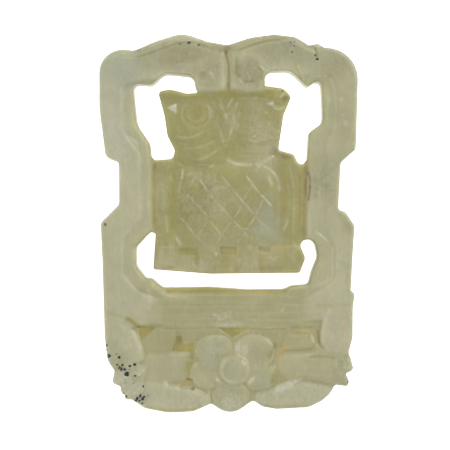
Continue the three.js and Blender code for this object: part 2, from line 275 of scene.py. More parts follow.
@dataclass
class Relief:
    """Heights and surface traces of the carved face on a grid."""

    x: np.ndarray
    y: np.ndarray
    height: np.ndarray = field(init=False)
    traces: dict[Trace, np.ndarray] = field(init=False)

    def __post_init__(self) -> None:
        """Start from an untouched blank."""
        self.height = np.zeros(self.x.shape)
        self.traces = {trace: np.zeros(self.x.shape) for trace in Trace}

    def window(self, points: np.ndarray, margin: float) -> tuple[slice, slice]:
        """Rows and columns of the grid that lie near some points."""
        low, high = points.min(axis=0) - margin, points.max(axis=0) + margin
        columns = np.searchsorted(self.x[0], (low[0], high[0]))
        rows = np.searchsorted(self.y[:, 0], (low[1], high[1]))
        return slice(rows[0], rows[1] + 1), slice(columns[0], columns[1] + 1)

    def mark(self, trace: Trace, amount: np.ndarray, part: tuple[slice, slice] | None = None) -> None:
        """Leave a trace, where it is stronger than what is there."""
        where = part if part is not None else (slice(None), slice(None))
        self.traces[trace][where] = np.maximum(self.traces[trace][where], amount)

    def fade(self, trace: Trace, share: np.ndarray, part: tuple[slice, slice]) -> None:
        """Take away a share of a trace."""
        self.traces[trace][part] *= 1 - share

    def raise_form(self, form: Form) -> None:
        """Join a raised form to the relief, with a worn crease round it."""
        outline = form.points()
        part = self.window(outline, form.blend + 0.8)
        x, y = self.x[part], self.y[part]
        depth = inside_depth(x, y, outline)
        rise = (form.top - form.foot) * worn_rise(depth, form.soft)
        crown = form.crown * smooth(depth / max(form.reach, form.soft))
        surface = np.where(depth > 0, form.foot + rise + crown, form.foot + depth * 1.5)
        self.height[part] = soft_max(surface, self.height[part], form.blend)
        inside = smooth(depth / 0.5)
        if form.pale:
            self.mark(Trace.PALE, form.pale * inside, part)
            self.fade(Trace.OLIVE, 0.9 * inside, part)
        shake = 0.75 + 0.5 * value_noise(x, y, 1.3, 17)
        # Pale rim lines are partly wear and partly painted highlight; the olive crease is partly the stone's tint and
        # partly painted shade.
        if form.rim:
            self.mark(Trace.WEAR_AND_HIGHLIGHT, np.exp(-(((depth - 0.3) / 0.24) ** 2)) * form.rim * shake, part)
        if form.olive:
            self.mark(Trace.OLIVE, np.exp(-(((depth + 0.12) / 0.3) ** 2)) * form.olive * shake, part)

    def cut_stroke(self, stroke: Stroke) -> None:
        """Cut an incised stroke. Its pale line is partly the look of ground stone and partly a painted highlight, and
        its flanks, where given, carry a painted shadow.
        """
        points = stroke.curve()
        part = self.window(points, stroke.width * 4 + 0.3)
        x, y = self.x[part], self.y[part]
        nearest = np.full(x.shape, np.inf)
        travel = np.zeros(x.shape)
        lengths = np.hypot(*np.diff(points, axis=0).T)
        starts = np.concatenate(((0.0,), np.cumsum(lengths)))
        for i in range(len(points) - 1):
            away, along = segment_distance(x, y, points[i], points[i + 1])
            closer = away < nearest
            nearest = np.where(closer, away, nearest)
            travel = np.where(closer, starts[i] + along * lengths[i], travel)
        fade = min(0.3 * starts[-1], 0.7)
        ends = smooth((travel + 0.15) / fade) * smooth((starts[-1] - travel + 0.15) / fade)
        shake = 1.0 + 0.35 * value_noise(x, y, 0.9, 11) + 0.2 * value_noise(x, y, 0.35, 12)
        cut = np.exp(-((nearest / stroke.width) ** 2)) * ends * shake
        lip = np.exp(-(((nearest - stroke.width * 1.8) / stroke.width) ** 2)) * ends
        self.height[part] -= stroke.depth * (cut - 0.12 * lip)
        if stroke.worn:
            self.mark(Trace.WEAR_AND_HIGHLIGHT, np.exp(-((nearest / (stroke.width * 1.2)) ** 2)) * ends * shake * stroke.worn, part)
        # Painted shadow: darker lines along both sides of the stroke, where a groove's walls would lie in shade.
        if stroke.flank:
            flank = np.exp(-(((nearest - 0.3) / 0.13) ** 2)) * ends
            self.mark(Trace.SHADE, flank * stroke.flank, part)
        if stroke.olive:
            self.mark(Trace.OLIVE, np.exp(-((nearest / (stroke.width * 1.7)) ** 2)) * ends * stroke.olive, part)
            self.fade(Trace.PALE, cut.clip(0, 1) * min(stroke.olive, 1.0), part)

    def sink(self, gap: Gap) -> None:
        """Drill a recess with sloping sides, painted darker and more olive towards its bottom, partly the stone's tint
        and partly painted shade.
        """
        outline = rounded_outline(gap.corners)
        part = self.window(outline, 0.8)
        x, y = self.x[part], self.y[part]
        middle = outline.mean(axis=0)
        depth = inside_depth(x, y, outline)
        floor = gap.floor + gap.climb[0] * (x - middle[0]) + gap.climb[1] * (y - middle[1])
        share = smooth((depth + 0.1) / gap.soft)
        here = self.height[part]
        fall = np.clip(here - floor, 0.0, None)
        self.height[part] = here - share * fall
        # Painted shade, with the stone's own olive: the olive deepens with how far the floor falls.
        self.mark(Trace.OLIVE, smooth((depth + 0.12) / 0.3) * gap.olive * smooth(0.7 + fall), part)
        self.fade(Trace.PALE, smooth((depth + 0.25) / 0.4), part)
        self.fade(Trace.WEAR_AND_HIGHLIGHT, smooth((depth + 0.1) / 0.3), part)
        if gap.rust:
            soil = smooth((depth + 0.05) / 0.3) * (0.7 + 0.4 * value_noise(x, y, 0.8, 23))
            self.mark(Trace.RUST, soil * gap.rust * smooth(fall / 0.7), part)

    def patch(self, trace: Trace, spot: Patch) -> None:
        """Lay a soft-edged cloud, stain or inclusion on the surface."""
        centre = np.array(((spot.x, spot.y),))
        part = self.window(centre, max(spot.half_width, spot.half_length) * 1.9 + 0.2)
        x, y = self.x[part] - spot.x, self.y[part] - spot.y
        c, s = math.cos(math.radians(spot.turn)), math.sin(math.radians(spot.turn))
        u, v = (c * x + s * y) / spot.half_width, (-s * x + c * y) / spot.half_length
        ragged = spot.ragged * value_noise(self.x[part], self.y[part], max(spot.half_width * 0.7, 0.25), 31)
        amount = spot.strength * smooth((1.0 + spot.fuzz - np.hypot(u, v) + ragged) / (2 * spot.fuzz))
        self.mark(trace, amount, part)


def arc(x: float, y: float, radius: float, start: float, end: float) -> tuple[Point, ...]:
    """Points along part of a circle, its angles in degrees."""
    angles = np.radians(np.linspace(start, end, max(3, int(abs(end - start) / 24) + 1)))
    return tuple((x + radius * math.cos(a), y + radius * math.sin(a)) for a in angles)


# ---------------------------------------------------------------- the design


@dataclass
class Frame:
    """Scrolled frame, its band towards the openings, and the outlines of the whole plaque."""

    ground: float = 5.34
    band: float = 5.55
    face: float = 5.75
    scroll_top: float = 5.8
    edge_radius: float = 0.62
    rim: tuple[Corner, ...] = (
        (-0.2, 28.4, 1.2), (-3.4, 28.95, 3), (-7.2, 30.36, 5.5), (-11.3, 29.1, 8), (-14.9, 27.55, 1.5),
        (-20.5, 28.0, 3.7), (-20.5, 18.5, 16), (-19.5, 10.6, 1.1), (-17.4, 9.8, 0.7),
        (-17.35, 3.1, 1.0), (-20.3, 0.2, 0.9), (-20.0, -6, 20), (-19.65, -18, 9), (-19.15, -21.7, 2.5), (-18.1, -23.3, 0.3),
        (-18.5, -25.25, 0.5), (-17.2, -25.75, 0.3), (-17, -26.85, 0.2), (-16.5, -27.15, 0.1),
        (-16.35, -27.85, 0.15), (-15.3, -27.9, 0.5), (-13.4, -29.2, 2), (-9.5, -29.97, 6), (-5.6, -29.75, 2),
        (-2.75, -28.5, 0.4), (0.35, -30.53, 3.2), (3.9, -27.95, 0.8), (5.3, -28.95, 1.2),
        (7.6, -29.35, 2), (12.7, -29.1, 3), (14.9, -28.0, 1.5), (16.1, -26.9, 1), (16.9, -25.5, 0.5),
        (18.9, -25.8, 0.3), (19.15, -24.9, 0.5), (18.6, -23.75, 0.2), (19.85, -23.1, 0.5),
        (19.5, -21.6, 0.8), (19.05, -20.4, 0.8), (19.7, -18, 2), (19.75, -13, 5), (20.05, -11.1, 0.5),
        (19.4, -10.5, 0.4), (20, -0.2, 1.2), (18.5, 2, 1.4), (17.4, 2.2, 0.6), (17.8, 9.75, 1),
        (20.2, 11.85, 0.8), (20.7, 27.85, 5.0), (15.3, 27.95, 0.7),
        (14.2, 28.65, 0.5), (12.8, 28.35, 0.4), (10.6, 29.7, 2.5), (7.2, 30.07, 4), (3.6, 29.6, 5),
    )
    window: tuple[Corner, ...] = (
        (-5.5, 23.55, 1.4), (-10.2, 23.95, 1.6), (-12.2, 22.05, 1.2), (-15.25, 22.3, 0.9), (-14.55, 15.8, 3),
        (-12.5, 12.8, 2), (-12.05, 8, 1), (-12.05, -1, 0.5), (-13.1, -1.9, 0.8), (-14.7, -3.7, 0.6),
        (-14.7, -6.6, 1.2), (-13.2, -8.6, 0.7), (-12.2, -8.7, 0.4), (-10.5, -10.15, 1.5), (-3, -10.05, 3),
        (3, -10.45, 3), (8.8, -10.4, 1.5), (10, -9.8, 0.8), (12.7, -9.65, 0.8), (13.2, -7.6, 0.8),
        (14.2, -5.2, 1.5), (13.65, -2.7, 1.1), (12.2, -2.4, 0.4), (12.4, 8, 2), (12.75, 14.5, 0.9),
        (14.8, 16.0, 0.7), (14.95, 17, 0.8), (14.7, 23.3, 0.8), (12.45, 21.75, 0.5), (9.8, 24.4, 2.4),
        (5.7, 24.25, 1.3), (5.8, 21.4, 0.9), (2.9, 21.1, 1), (0, 21.9, 0.4), (-2.6, 21.1, 1), (-5.2, 21.2, 0.7),
    )
    left_face: tuple[Corner, ...] = (
        (-23, -17.0, 0), (-23, 26.9, 0), (-18.3, 26.8, 1), (-16, 26.95, 1.5), (-14.3, 26.65, 1),
        (-12.5, 27.3, 2), (-9.8, 28.4, 4), (-6.4, 29.3, 3), (-3, 27.9, 2), (-0.6, 27.2, 0.5),
        (-0.3, 20.8, 0), (-6, 20.8, 0), (-6, 22.7, 0), (-13.6, 22.6, 0.4), (-16.45, 21.9, 0.8),
        (-16.6, 15, 1.5), (-13.75, 11.3, 1.5), (-13.6, 0.6, 1), (-16.35, -2.4, 1), (-16.4, -7.9, 1),
        (-14.2, -10.6, 1), (-10.5, -12.2, 1), (-10.5, -15.9, 0.5), (-14.5, -16.2, 0.5),
        (-16.2, -17.0, 1),
    )
    right_face: tuple[Corner, ...] = (
        (23, -15.4, 0), (11.6, -15.4, 0.5), (11.4, -12.2, 0.8), (16.7, -8.6, 1), (16.7, -3.4, 1.5),
        (15.1, -0.7, 1.5), (15.2, 13.5, 1.5), (17.1, 16.2, 1.5), (16.9, 21.6, 1.5), (16, 23.5, 0.8),
        (12.6, 23.2, 0.5), (5.6, 23, 0), (5.6, 20.5, 0), (0.1, 20.5, 0), (0.3, 27.5, 0.5),
        (2.4, 28, 2), (6.4, 29.3, 3), (9.8, 29.6, 2), (13.5, 27.6, 0.8), (16, 28.6, 1), (23, 27.5, 0),
    )
    scrolls: tuple[tuple[Corner, ...], ...] = (
        ((-0.45, 27.2, 0.5), (-0.4, 21.2, 0.9), (-4.95, 21.15, 0.8), (-5.3, 23.3, 0.8), (-6.6, 25.2, 1),
         (-4, 27.8, 2)),
        ((0.5, 27.2, 0.5), (0.45, 21.5, 0.8), (4.8, 21.8, 0.9), (5.5, 23.5, 0.8), (6.8, 25.4, 1),
         (4, 27.9, 2)),
    )
    strokes: tuple[Stroke, ...] = (
        Stroke(((-0.5, 27.6), (-0.35, 26.4), (0.0, 24.6), (-0.02, 21.0)), 0.0, 0.2, 0.12, 0.8),
        Stroke(((-0.75, 26.4), (-0.55, 24.5), (-0.6, 22.2), (-1.3, 21.35), (-4.2, 21.3)), 0.07, 0.2, 0.02),
        Stroke(((0.35, 26.6), (0.6, 24.8), (0.6, 22.4), (1.4, 21.75), (4.4, 22)), 0.13, 0.22, 0.02),
        Stroke(((-18.6, 26.4), (-17.4, 26.9), (-16.1, 27.0), (-14.3, 26.85), (-12.5, 27.4), (-10, 28.35), (-7, 29.05),
                (-4.4, 28.7), (-2.4, 28.05)), 0.34, 0.17, 0.0),
        Stroke(((-14.2, 27.3), (-12.4, 27.9), (-10, 28.85), (-7.2, 29.5), (-4.4, 29.15), (-2.6, 28.45)), 0.2, 0.36, 0.0),
        Stroke(((-14.6, 26.5), (-12.8, 26.9), (-11.5, 27.4), (-10, 28.0), (-8, 28.65), (-5.6, 28.75), (-3.4, 28.1)),
               0.0, 0.17, 0.05, 0.6),
        Stroke(((1.2, 27.4), (4, 28.5), (6.2, 29.0), (8.6, 29.2)), 0.0, 0.17, 0.06, 0.5),
        Stroke(((1.2, 27.7), (4, 28.8), (6.2, 29.3), (8.6, 29.5)), 0.2, 0.17, 0.0),
        Stroke(((13.3, 28.2), (13.8, 27.3), (13.8, 26.2)), 0.0, 0.2, 0.12, 0.55),
        Stroke(((-8.6, 25.2), (-7, 25.4), (-5.4, 25.2)), 0.28, 0.16, 0.05),
        Stroke(((-10.4, 25), (-9.2, 25.2), (-8, 24.8)), 0.14, 0.16, 0.03),
        Stroke(((-2.95, 24.3), (-2.5, 23.7), (-2.2, 22.9)), 0.42, 0.15, 0.07),
        Stroke(arc(-3.95, 23.6, 0.95, 60, 330), 0.16, 0.16, 0.05),
        Stroke(arc(-4.1, 23.6, 0.2, 0, 300), 0.0, 0.24, 0.05, 0.35),
        Stroke(((5.0, 25.1), (5.3, 24.9), (5.7, 24.5)), 0.5, 0.15, 0.06),
        Stroke(((4.4, 25), (5.1, 24.2), (5.3, 23), (4.9, 22.5)), 0.0, 0.24, 0.08, 0.6),
        Stroke(((1.3, 26.8), (1.2, 25), (1.5, 23.4), (2.6, 22.5), (4.2, 22.6)), 0.0, 0.2, 0.08, 0.4),
        Stroke(((1.85, 23.2), (2.0, 22.8), (2.35, 22.2)), 0.45, 0.15, 0.06),
        Stroke(((2.9, 24.2), (3.3, 23.6), (3.5, 22.9)), 0.2, 0.16, 0.05),
        Stroke(((2.2, 25.6), (2.6, 25.1), (2.5, 24.2)), 0.14, 0.16, 0.04),
        Stroke(((10.9, 25.5), (11.5, 24.2), (12.1, 22.5)), 0.3, 0.2, 0.1),
        Stroke(((10.4, 25.5), (11.1, 24.2), (11.6, 22.9)), 0.0, 0.18, 0.05, 0.45),
        Stroke(((12.6, 23.4), (14.2, 23.45), (15.9, 23.6)), 0.26, 0.2, 0.02),
        Stroke(((16.0, 23.4), (16.6, 22.2), (17.05, 20.4), (17.1, 17), (16.8, 14.8)), 0.2, 0.2, 0.02),
        Stroke(((15.75, 22), (15.75, 19), (15.7, 16.2)), 0.22, 0.16, 0.03),
        Stroke(((15.1, 21.8), (15.2, 19), (15.2, 16.8)), 0.12, 0.18, 0.0),
        Stroke(((13.0, 14.2), (12.85, 12), (12.85, 10)), 0.2, 0.2, 0.0),
        Stroke(((13.2, 14.6), (14, 15.3), (15.1, 15.9)), 0.2, 0.18, 0.0),
        Stroke(((13.75, -1.1), (14.9, -2.0), (15.95, -2.9)), 0.95, 0.11, 0.06),
        Stroke(((15.2, 8), (15.15, 4), (15.2, -0.6)), 0.16, 0.2, 0.02),
        Stroke(((14.5, 7), (14.6, 3), (14.6, -0.6)), 0.08, 0.2, 0.03),
        Stroke(((16.5, -3.6), (16.55, -6), (16.55, -8.3)), 0.24, 0.17, 0.03),
        Stroke(((16.6, -8.3), (15.1, -9.4), (13.9, -10.2), (12.9, -10.8), (11.8, -11.8)), 0.22, 0.28, 0.02),
        Stroke(((14.45, -4.6), (14.5, -6.4), (13.9, -8)), 0.1, 0.2, 0.0),
        Stroke(((-16.5, 21.4), (-16.5, 18), (-16.4, 15.2)), 0.2, 0.2, 0.02),
        Stroke(((-15.5, 13.8), (-14.9, 13.2), (-14.4, 12.7)), 0.5, 0.16, 0.04),
        Stroke(((-15.8, 13.3), (-15.2, 12.7), (-14.8, 12.2)), 0.2, 0.14, 0.03),
        Stroke(((-13.7, 11), (-13.7, 6), (-13.7, 1)), 0.14, 0.22, 0.02),
        Stroke(((-12.6, 8), (-12.6, 3), (-12.6, 0)), 0.16, 0.25, 0.0),
        Stroke(((-16.4, -5.8), (-16.4, -7.6)), 0.14, 0.17, 0.02),
        Stroke(((-16.35, -7.7), (-15.65, -9.2), (-14.45, -10.4)), 0.36, 0.14, 0.05),
        Stroke(((-12.3, -9.4), (-11.1, -10.5), (-9.8, -11.2), (-8.4, -11.55), (-6.4, -11.7)), 0.3, 0.22, 0.03),
        Stroke(((-12.9, -9.6), (-12.5, -11.2), (-12.6, -13.1)), 0.2, 0.35, 0.0),
    )

    def carve(self, relief: Relief) -> None:
        """Cut the frame's faces, band, scrolls and seam."""
        x, y = relief.x, relief.y
        opening = inside_depth(x, y, rounded_outline(self.window))
        slope = self.band - 0.12 * smooth(1 + opening / 0.8) + 0.05 * smooth(-opening / 2.5)
        above = smooth((y + 11.6) / 2.0)
        relief.height[:] = self.ground + (slope - self.ground) * above
        relief.mark(Trace.OLIVE, 0.1 * smooth(1 + opening / 1.0) * above)
        relief.mark(Trace.PALE, 0.6 * above * smooth(-opening / 1.0))
        for corners in (self.left_face, self.right_face):
            relief.raise_form(Form(corners, self.face, 0.7, foot=self.band, blend=0.08, pale=1.0, rim=0.06))

    def finish(self, relief: Relief) -> None:
        """Round the scroll heads and cut the lines once the bar and leaves are in place."""
        for corners in self.scrolls:
            relief.raise_form(Form(corners, self.scroll_top, 1.4, foot=5.5, crown=0.08, reach=2.2, blend=0.2))
        for stroke in self.strokes:
            relief.cut_stroke(stroke)


@dataclass
class Bar:
    """Hollowed bar below the slot, with its coarse run of grinding lines."""

    sides: Point = (-16.4, -9.2)
    ends: Point = (-14.0, 14.6)
    fade_in: float = 4.2
    top: float = 5.62
    hollow: float = 0.28
    bevel_low: float = -11.4
    bevel_ends: Point = (-11.4, 9.9)
    bevel_fall: float = 0.6

    def carve(self, relief: Relief) -> None:
        """Cut the bar, its hollow and the bevel along the slot."""
        x, y = relief.x, relief.y
        lean = 0.25 * (y + 12.8)
        ends = smooth((x - self.ends[0]) / self.fade_in) * smooth((self.ends[1] - x - lean) / self.fade_in)
        depth = np.minimum(self.sides[1] - y, y - self.sides[0])
        hollow = self.hollow * np.clip(1 - ((y + 13.7) / 3.2) ** 2, 0, 1) * ends
        lines = 0.03 * value_noise(x * 0.05, y, 0.36, 5) + 0.04 * value_noise(x * 0.04, y, 0.9, 6)
        run = smooth((x - self.bevel_ends[0]) / 1.8) * smooth((self.bevel_ends[1] - x) / 1.4)
        bevel = smooth((y - self.bevel_low) / 1.0) * run
        within = smooth((depth + 0.1) / 0.9) * ends
        tint = smooth((depth + 0.4) / 1.4) * ends
        surface = self.top - hollow + lines - self.bevel_fall * bevel
        relief.height[:] = relief.height * (1 - within) + surface * within
        relief.fade(Trace.PALE, np.maximum(tint, within * bevel), (slice(None), slice(None)))
        streak = 0.2 * value_noise(x * 0.05, y, 0.5, 7) + 0.12 * value_noise(x * 0.12, y, 0.24, 9)
        relief.mark(Trace.SHADE, tint * 0.14 * value_noise(x * 0.04, y, 0.62, 13))
        relief.mark(Trace.WEAR_AND_HIGHLIGHT, within * 0.3 * (value_noise(x * 0.06, y, 0.34, 14) - 0.35).clip(0))
        relief.mark(Trace.OLIVE, tint * (0.1 + 0.7 * streak.clip(-0.2, 0.2)) + within * bevel * (1 - 0.15 * smooth(x / 8)))
        lip = np.exp(-(((y - self.bevel_low - 0.55) / 0.2) ** 2)) * run
        relief.mark(Trace.AMBER, 0.2 * lip * smooth((x + 3) / 4) * (1 + value_noise(x, y, 1.6, 10)))


@dataclass
class Owl:
    """Owl with its head, eyes, beak, breast of crossed feathers, wings and feet."""

    wing_top: float = 4.95
    head_top: float = 5.12
    belly_top: float = 5.5
    outline: tuple[Corner, ...] = (
        (-5, 23, 0), (-4.9, 20.8, 0), (-6.5, 20.65, 1), (-9.3, 21.35, 2), (-11.2, 21.0, 0.6),
        (-10.15, 17.2, 6), (-9.7, 14, 2), (-8.5, 11.7, 0.6), (-8.8, 10.35, 0.8), (-11.7, 10.1, 0.5), (-12.2, 10.7, 0.3), (-13, 10.8, 0),
        (-13, -1.1, 0), (-11.55, -1.5, 0.3), (-11.95, -7.2, 0.3), (-3, -7.9, 8), (11.3, -7.75, 0.4),
        (12.2, -5.4, 1.0), (11.3, -3.3, 0.8), (11.9, -2.6, 0.4), (13.2, -2.3, 0), (13.2, 10.3, 0),
        (12.35, 10.15, 0.3), (12.0, 9.5, 0.5), (11.1, 9.45, 0.8), (10.3, 11.1, 0.6), (7.9, 11.75, 0.5), (8.75, 17.3, 3), (9.95, 20.2, 0.7),
        (8.7, 21.5, 0.9), (5, 22, 0), (4.8, 23, 0),
    )
    head: tuple[Corner, ...] = (
        (-12, 22.8, 0), (-12, 12, 0), (-8.1, 10.2, 1), (-3.5, 9.3, 3), (-0.8, 9.9, 1), (2.5, 9.3, 3),
        (5.3, 9.6, 2), (7.4, 11.1, 0.8), (12, 12, 0), (12, 22.8, 0),
    )
    belly: tuple[Corner, ...] = (
        (-7.3, 9.4, 2.2), (-8.4, 3, 6), (-7.7, -3.7, 1.6), (7.5, -3.5, 1.6), (8.4, 3, 6), (7, 9.4, 2.6),
    )
    eye_left: tuple[float, float, float, float] = (-5.1, 17.5, 2.28, 1.2)
    eye_right: tuple[float, float, float, float] = (3.8, 17.6, 2.1, 1.1)
    face_strokes: tuple[Stroke, ...] = (
        Stroke(((-2.6, 19.8), (-2.2, 19.1), (-1.85, 18.3)), 0.14, 0.16),
        Stroke(((-1.4, 20.1), (-1.15, 19.2), (-0.9, 18.1)), 0.34, 0.17),
        Stroke(((0.75, 20.1), (0.2, 19.1), (-0.25, 18.2)), 0.34, 0.17),
        Stroke(((1.5, 19.3), (1.3, 18.9), (1.1, 18.4)), 0.4, 0.17),
        Stroke(((-3.35, 18.9), (-3.1, 18.6), (-2.9, 18.3)), 0.42, 0.14, 0.05),
        Stroke(((-2.0, 16.3), (-1.6, 15.7), (-1.3, 15)), 0.18, 0.17),
        Stroke(((-1.35, 15.2), (-1.1, 14.1), (-0.8, 12.7)), 0.46, 0.17, 0.07),
        Stroke(((0.75, 17.6), (0.85, 16.8), (0.95, 15.9)), 0.2, 0.15, 0.03),
        Stroke(((0.6, 15.4), (0.45, 14.6), (0.05, 13.5), (-0.2, 12.9)), 0.42, 0.15, 0.05),
        Stroke(((-0.4, 14.2), (-0.5, 13.5), (-0.55, 12.9)), 0.18, 0.14, 0.03),
        Stroke(((-8.5, 14), (-7, 13.75), (-5.5, 13.9), (-3.7, 14.85)), 0.34, 0.14),
        Stroke(((-7.2, 11.95), (-5, 12.1), (-3.5, 12.6), (-1.9, 13.3)), 0.26, 0.14),
        Stroke(((-5.2, 10.25), (-4, 10.5), (-2.5, 11.25), (-1.1, 12.3)), 0.28, 0.14),
        Stroke(((-8.2, 12.9), (-6.8, 12.8), (-5.6, 12.9)), 0.08, 0.14, 0.03),
        Stroke(((-8.1, 15), (-6.8, 14.6)), 0.08, 0.14, 0.03),
        Stroke(((2.1, 14.75), (3.2, 14.55), (4.4, 14.35), (6.2, 14.2)), 0.14, 0.15, 0.03),
        Stroke(((2.3, 13.8), (3.6, 13.3), (5.2, 13.05)), 0.16, 0.15, 0.03),
        Stroke(((2.4, 13.1), (3.6, 12.8), (5, 12.6)), 0.0, 0.14, 0.03, 0.7),
        Stroke(((2.0, 12.0), (3.8, 11.6), (6, 11.8)), 0.14, 0.15, 0.03),
        Stroke(((2.2, 15.5), (4.2, 15.35), (7.2, 15.5)), 0.1, 0.15, 0.02),
        Stroke(((4.4, 13.6), (5.8, 13.5), (7.4, 13.7)), 0.14, 0.14, 0.02),
        Stroke(((3.4, 12.3), (5.4, 12.25), (7, 12.5)), 0.1, 0.14, 0.02),
        Stroke(((1.2, 11.2), (2.8, 10.8), (5.4, 10.9)), 0.12, 0.14, 0.02),
        Stroke(((5.2, 18.6), (6.3, 17.6), (7.0, 16.6)), 0.1, 0.16, 0.02),
        Stroke(((5.8, 16.8), (6.6, 15.9), (7.4, 15.2)), 0.1, 0.16, 0.02),
        Stroke(((-8.1, 10.05), (-6.5, 9.3), (-4, 9.05), (-2.6, 9.2)), 0.0, 0.2, 0.08, 0.95),
        Stroke(((-6, 9.6), (-4.6, 9.4), (-3.2, 9.45)), 0.14, 0.14, 0.03),
        Stroke(((-3, 9.1), (-2.5, 9.3), (-2.2, 9.5)), 0.4, 0.15, 0.03),
        # Painted highlight, partly wear: the two pale lines along the head's lower right border.
        Stroke(((-0.3, 10.3), (0.4, 9.9), (1.2, 9.6), (2.3, 9.45), (4, 9.4)), 0.68, 0.25, 0.04),
        Stroke(((4.0, 9.4), (5.2, 9.7), (6.2, 10.2), (7.1, 10.8)), 0.62, 0.22, 0.04),
        Stroke(((-0.4, 9.9), (1, 9.2), (3, 8.9), (5, 9.1)), 0.0, 0.2, 0.06, 0.6),
        Stroke(((-9.8, 20.4), (-7, 20.45), (-4.4, 20.5), (0, 20.75), (4.4, 20.8), (7.6, 20.6)), 0.0, 0.75, 0.0, 1.3),
        Stroke(((-8, 19.7), (-4.5, 19.85), (-0.5, 19.95)), 0.1, 0.2, 0.0),
        Stroke(((1.5, 19.95), (4, 19.9), (6.4, 19.8)), 0.12, 0.2, 0.0),
        Stroke(arc(8.05, 19.35, 1.05, 210, 330), 0.42, 0.18, 0.08),
        Stroke(((7.2, 20.1), (7.9, 20.5), (8.3, 20.2)), 0.12, 0.15, 0.06, 0.8),
        Stroke(((8.3, 20.2), (8.65, 20.45), (8.9, 20.5)), 0.55, 0.14, 0.06),
        Stroke(((7.2, 19.4), (7.6, 19.0), (8.2, 19.1)), 0.0, 0.2, 0.1, 1.1),
        Stroke(((8.4, 21.1), (8.7, 21.1)), 0.0, 0.2, 0.05, 1.2),
    )
    lattice: tuple[tuple[tuple[Point, ...], float], ...] = (
        (((-4.7, 7.25), (-3.9, 6.1), (-3.1, 5.0)), 0.60),
        (((-3.1, 5.0), (-1.5, 3.15), (0.7, 0.6)), 0.38),
        (((0.7, 0.65), (1.3, 0.05), (2.0, -0.7)), 0.51),
        (((2.0, -0.7), (2.7, -1.5), (3.3, -2.2)), 0.29),
        (((-1.1, 7.7), (-0.3, 6.7), (0.4, 5.8)), 0.49),
        (((0.4, 5.8), (2, 3.95), (4.1, 1.5)), 0.44),
        (((4.1, 1.4), (5.3, 0.3), (6.5, -0.8)), 0.38),
        (((2.7, 7.8), (4, 6.1), (5.0, 4.8)), 0.55),
        (((5.0, 4.8), (5.9, 3.9), (6.9, 2.8)), 0.71),
        (((-6.7, 4.8), (-4.8, 2.9), (-3.1, 1.0)), 0.35),
        (((-3.0, 0.6), (-2.1, -0.5), (-1.2, -1.6), (-0.2, -2.6)), 0.40),
        (((-7.8, 1.2), (-6.6, -0.1), (-5.4, -1.6)), 0.40),
        (((-5.4, -1.6), (-4.4, -2.6), (-3.5, -3.4)), 0.35),
        (((5.6, 4.0), (5.0, 2.7), (4.3, 1.3)), 0.38),
        (((4.2, 1.2), (3.7, 0.3), (3.2, -0.2)), 0.44),
        (((2.9, -1.0), (2.2, -1.9), (1.3, -3.1)), 0.29),
        (((3.9, 6.3), (2.9, 4.8), (2.3, 3.7)), 0.24),
        (((2.1, 3.1), (1.5, 1.9), (0.9, 0.8)), 0.29),
        (((0.6, 0.5), (-0.2, -0.5), (-1.0, -1.6), (-1.9, -3.2)), 0.29),
        (((-2.2, 2.1), (-3.4, 0.4), (-4.8, -1.9)), 0.22),
        (((-3.4, 5.3), (-4.0, 4.2), (-4.6, 3.2)), 0.24),
        (((-5.4, 1.6), (-6.4, 0.9)), 0.18),
        (((-4.8, 8.0), (-5.6, 6.8), (-6.4, 5.6)), 0.24),
        (((3.15, -0.7), (2.6, -0.75), (2.0, -0.65)), 0.44),
        (((-0.2, 4.9), (0.4, 5.8)), 0.16),
        (((-6.6, 3.5), (-7.2, 2.2)), 0.13),
        (((4.9, 6.0), (6.2, 4.4)), 0.11),
    )
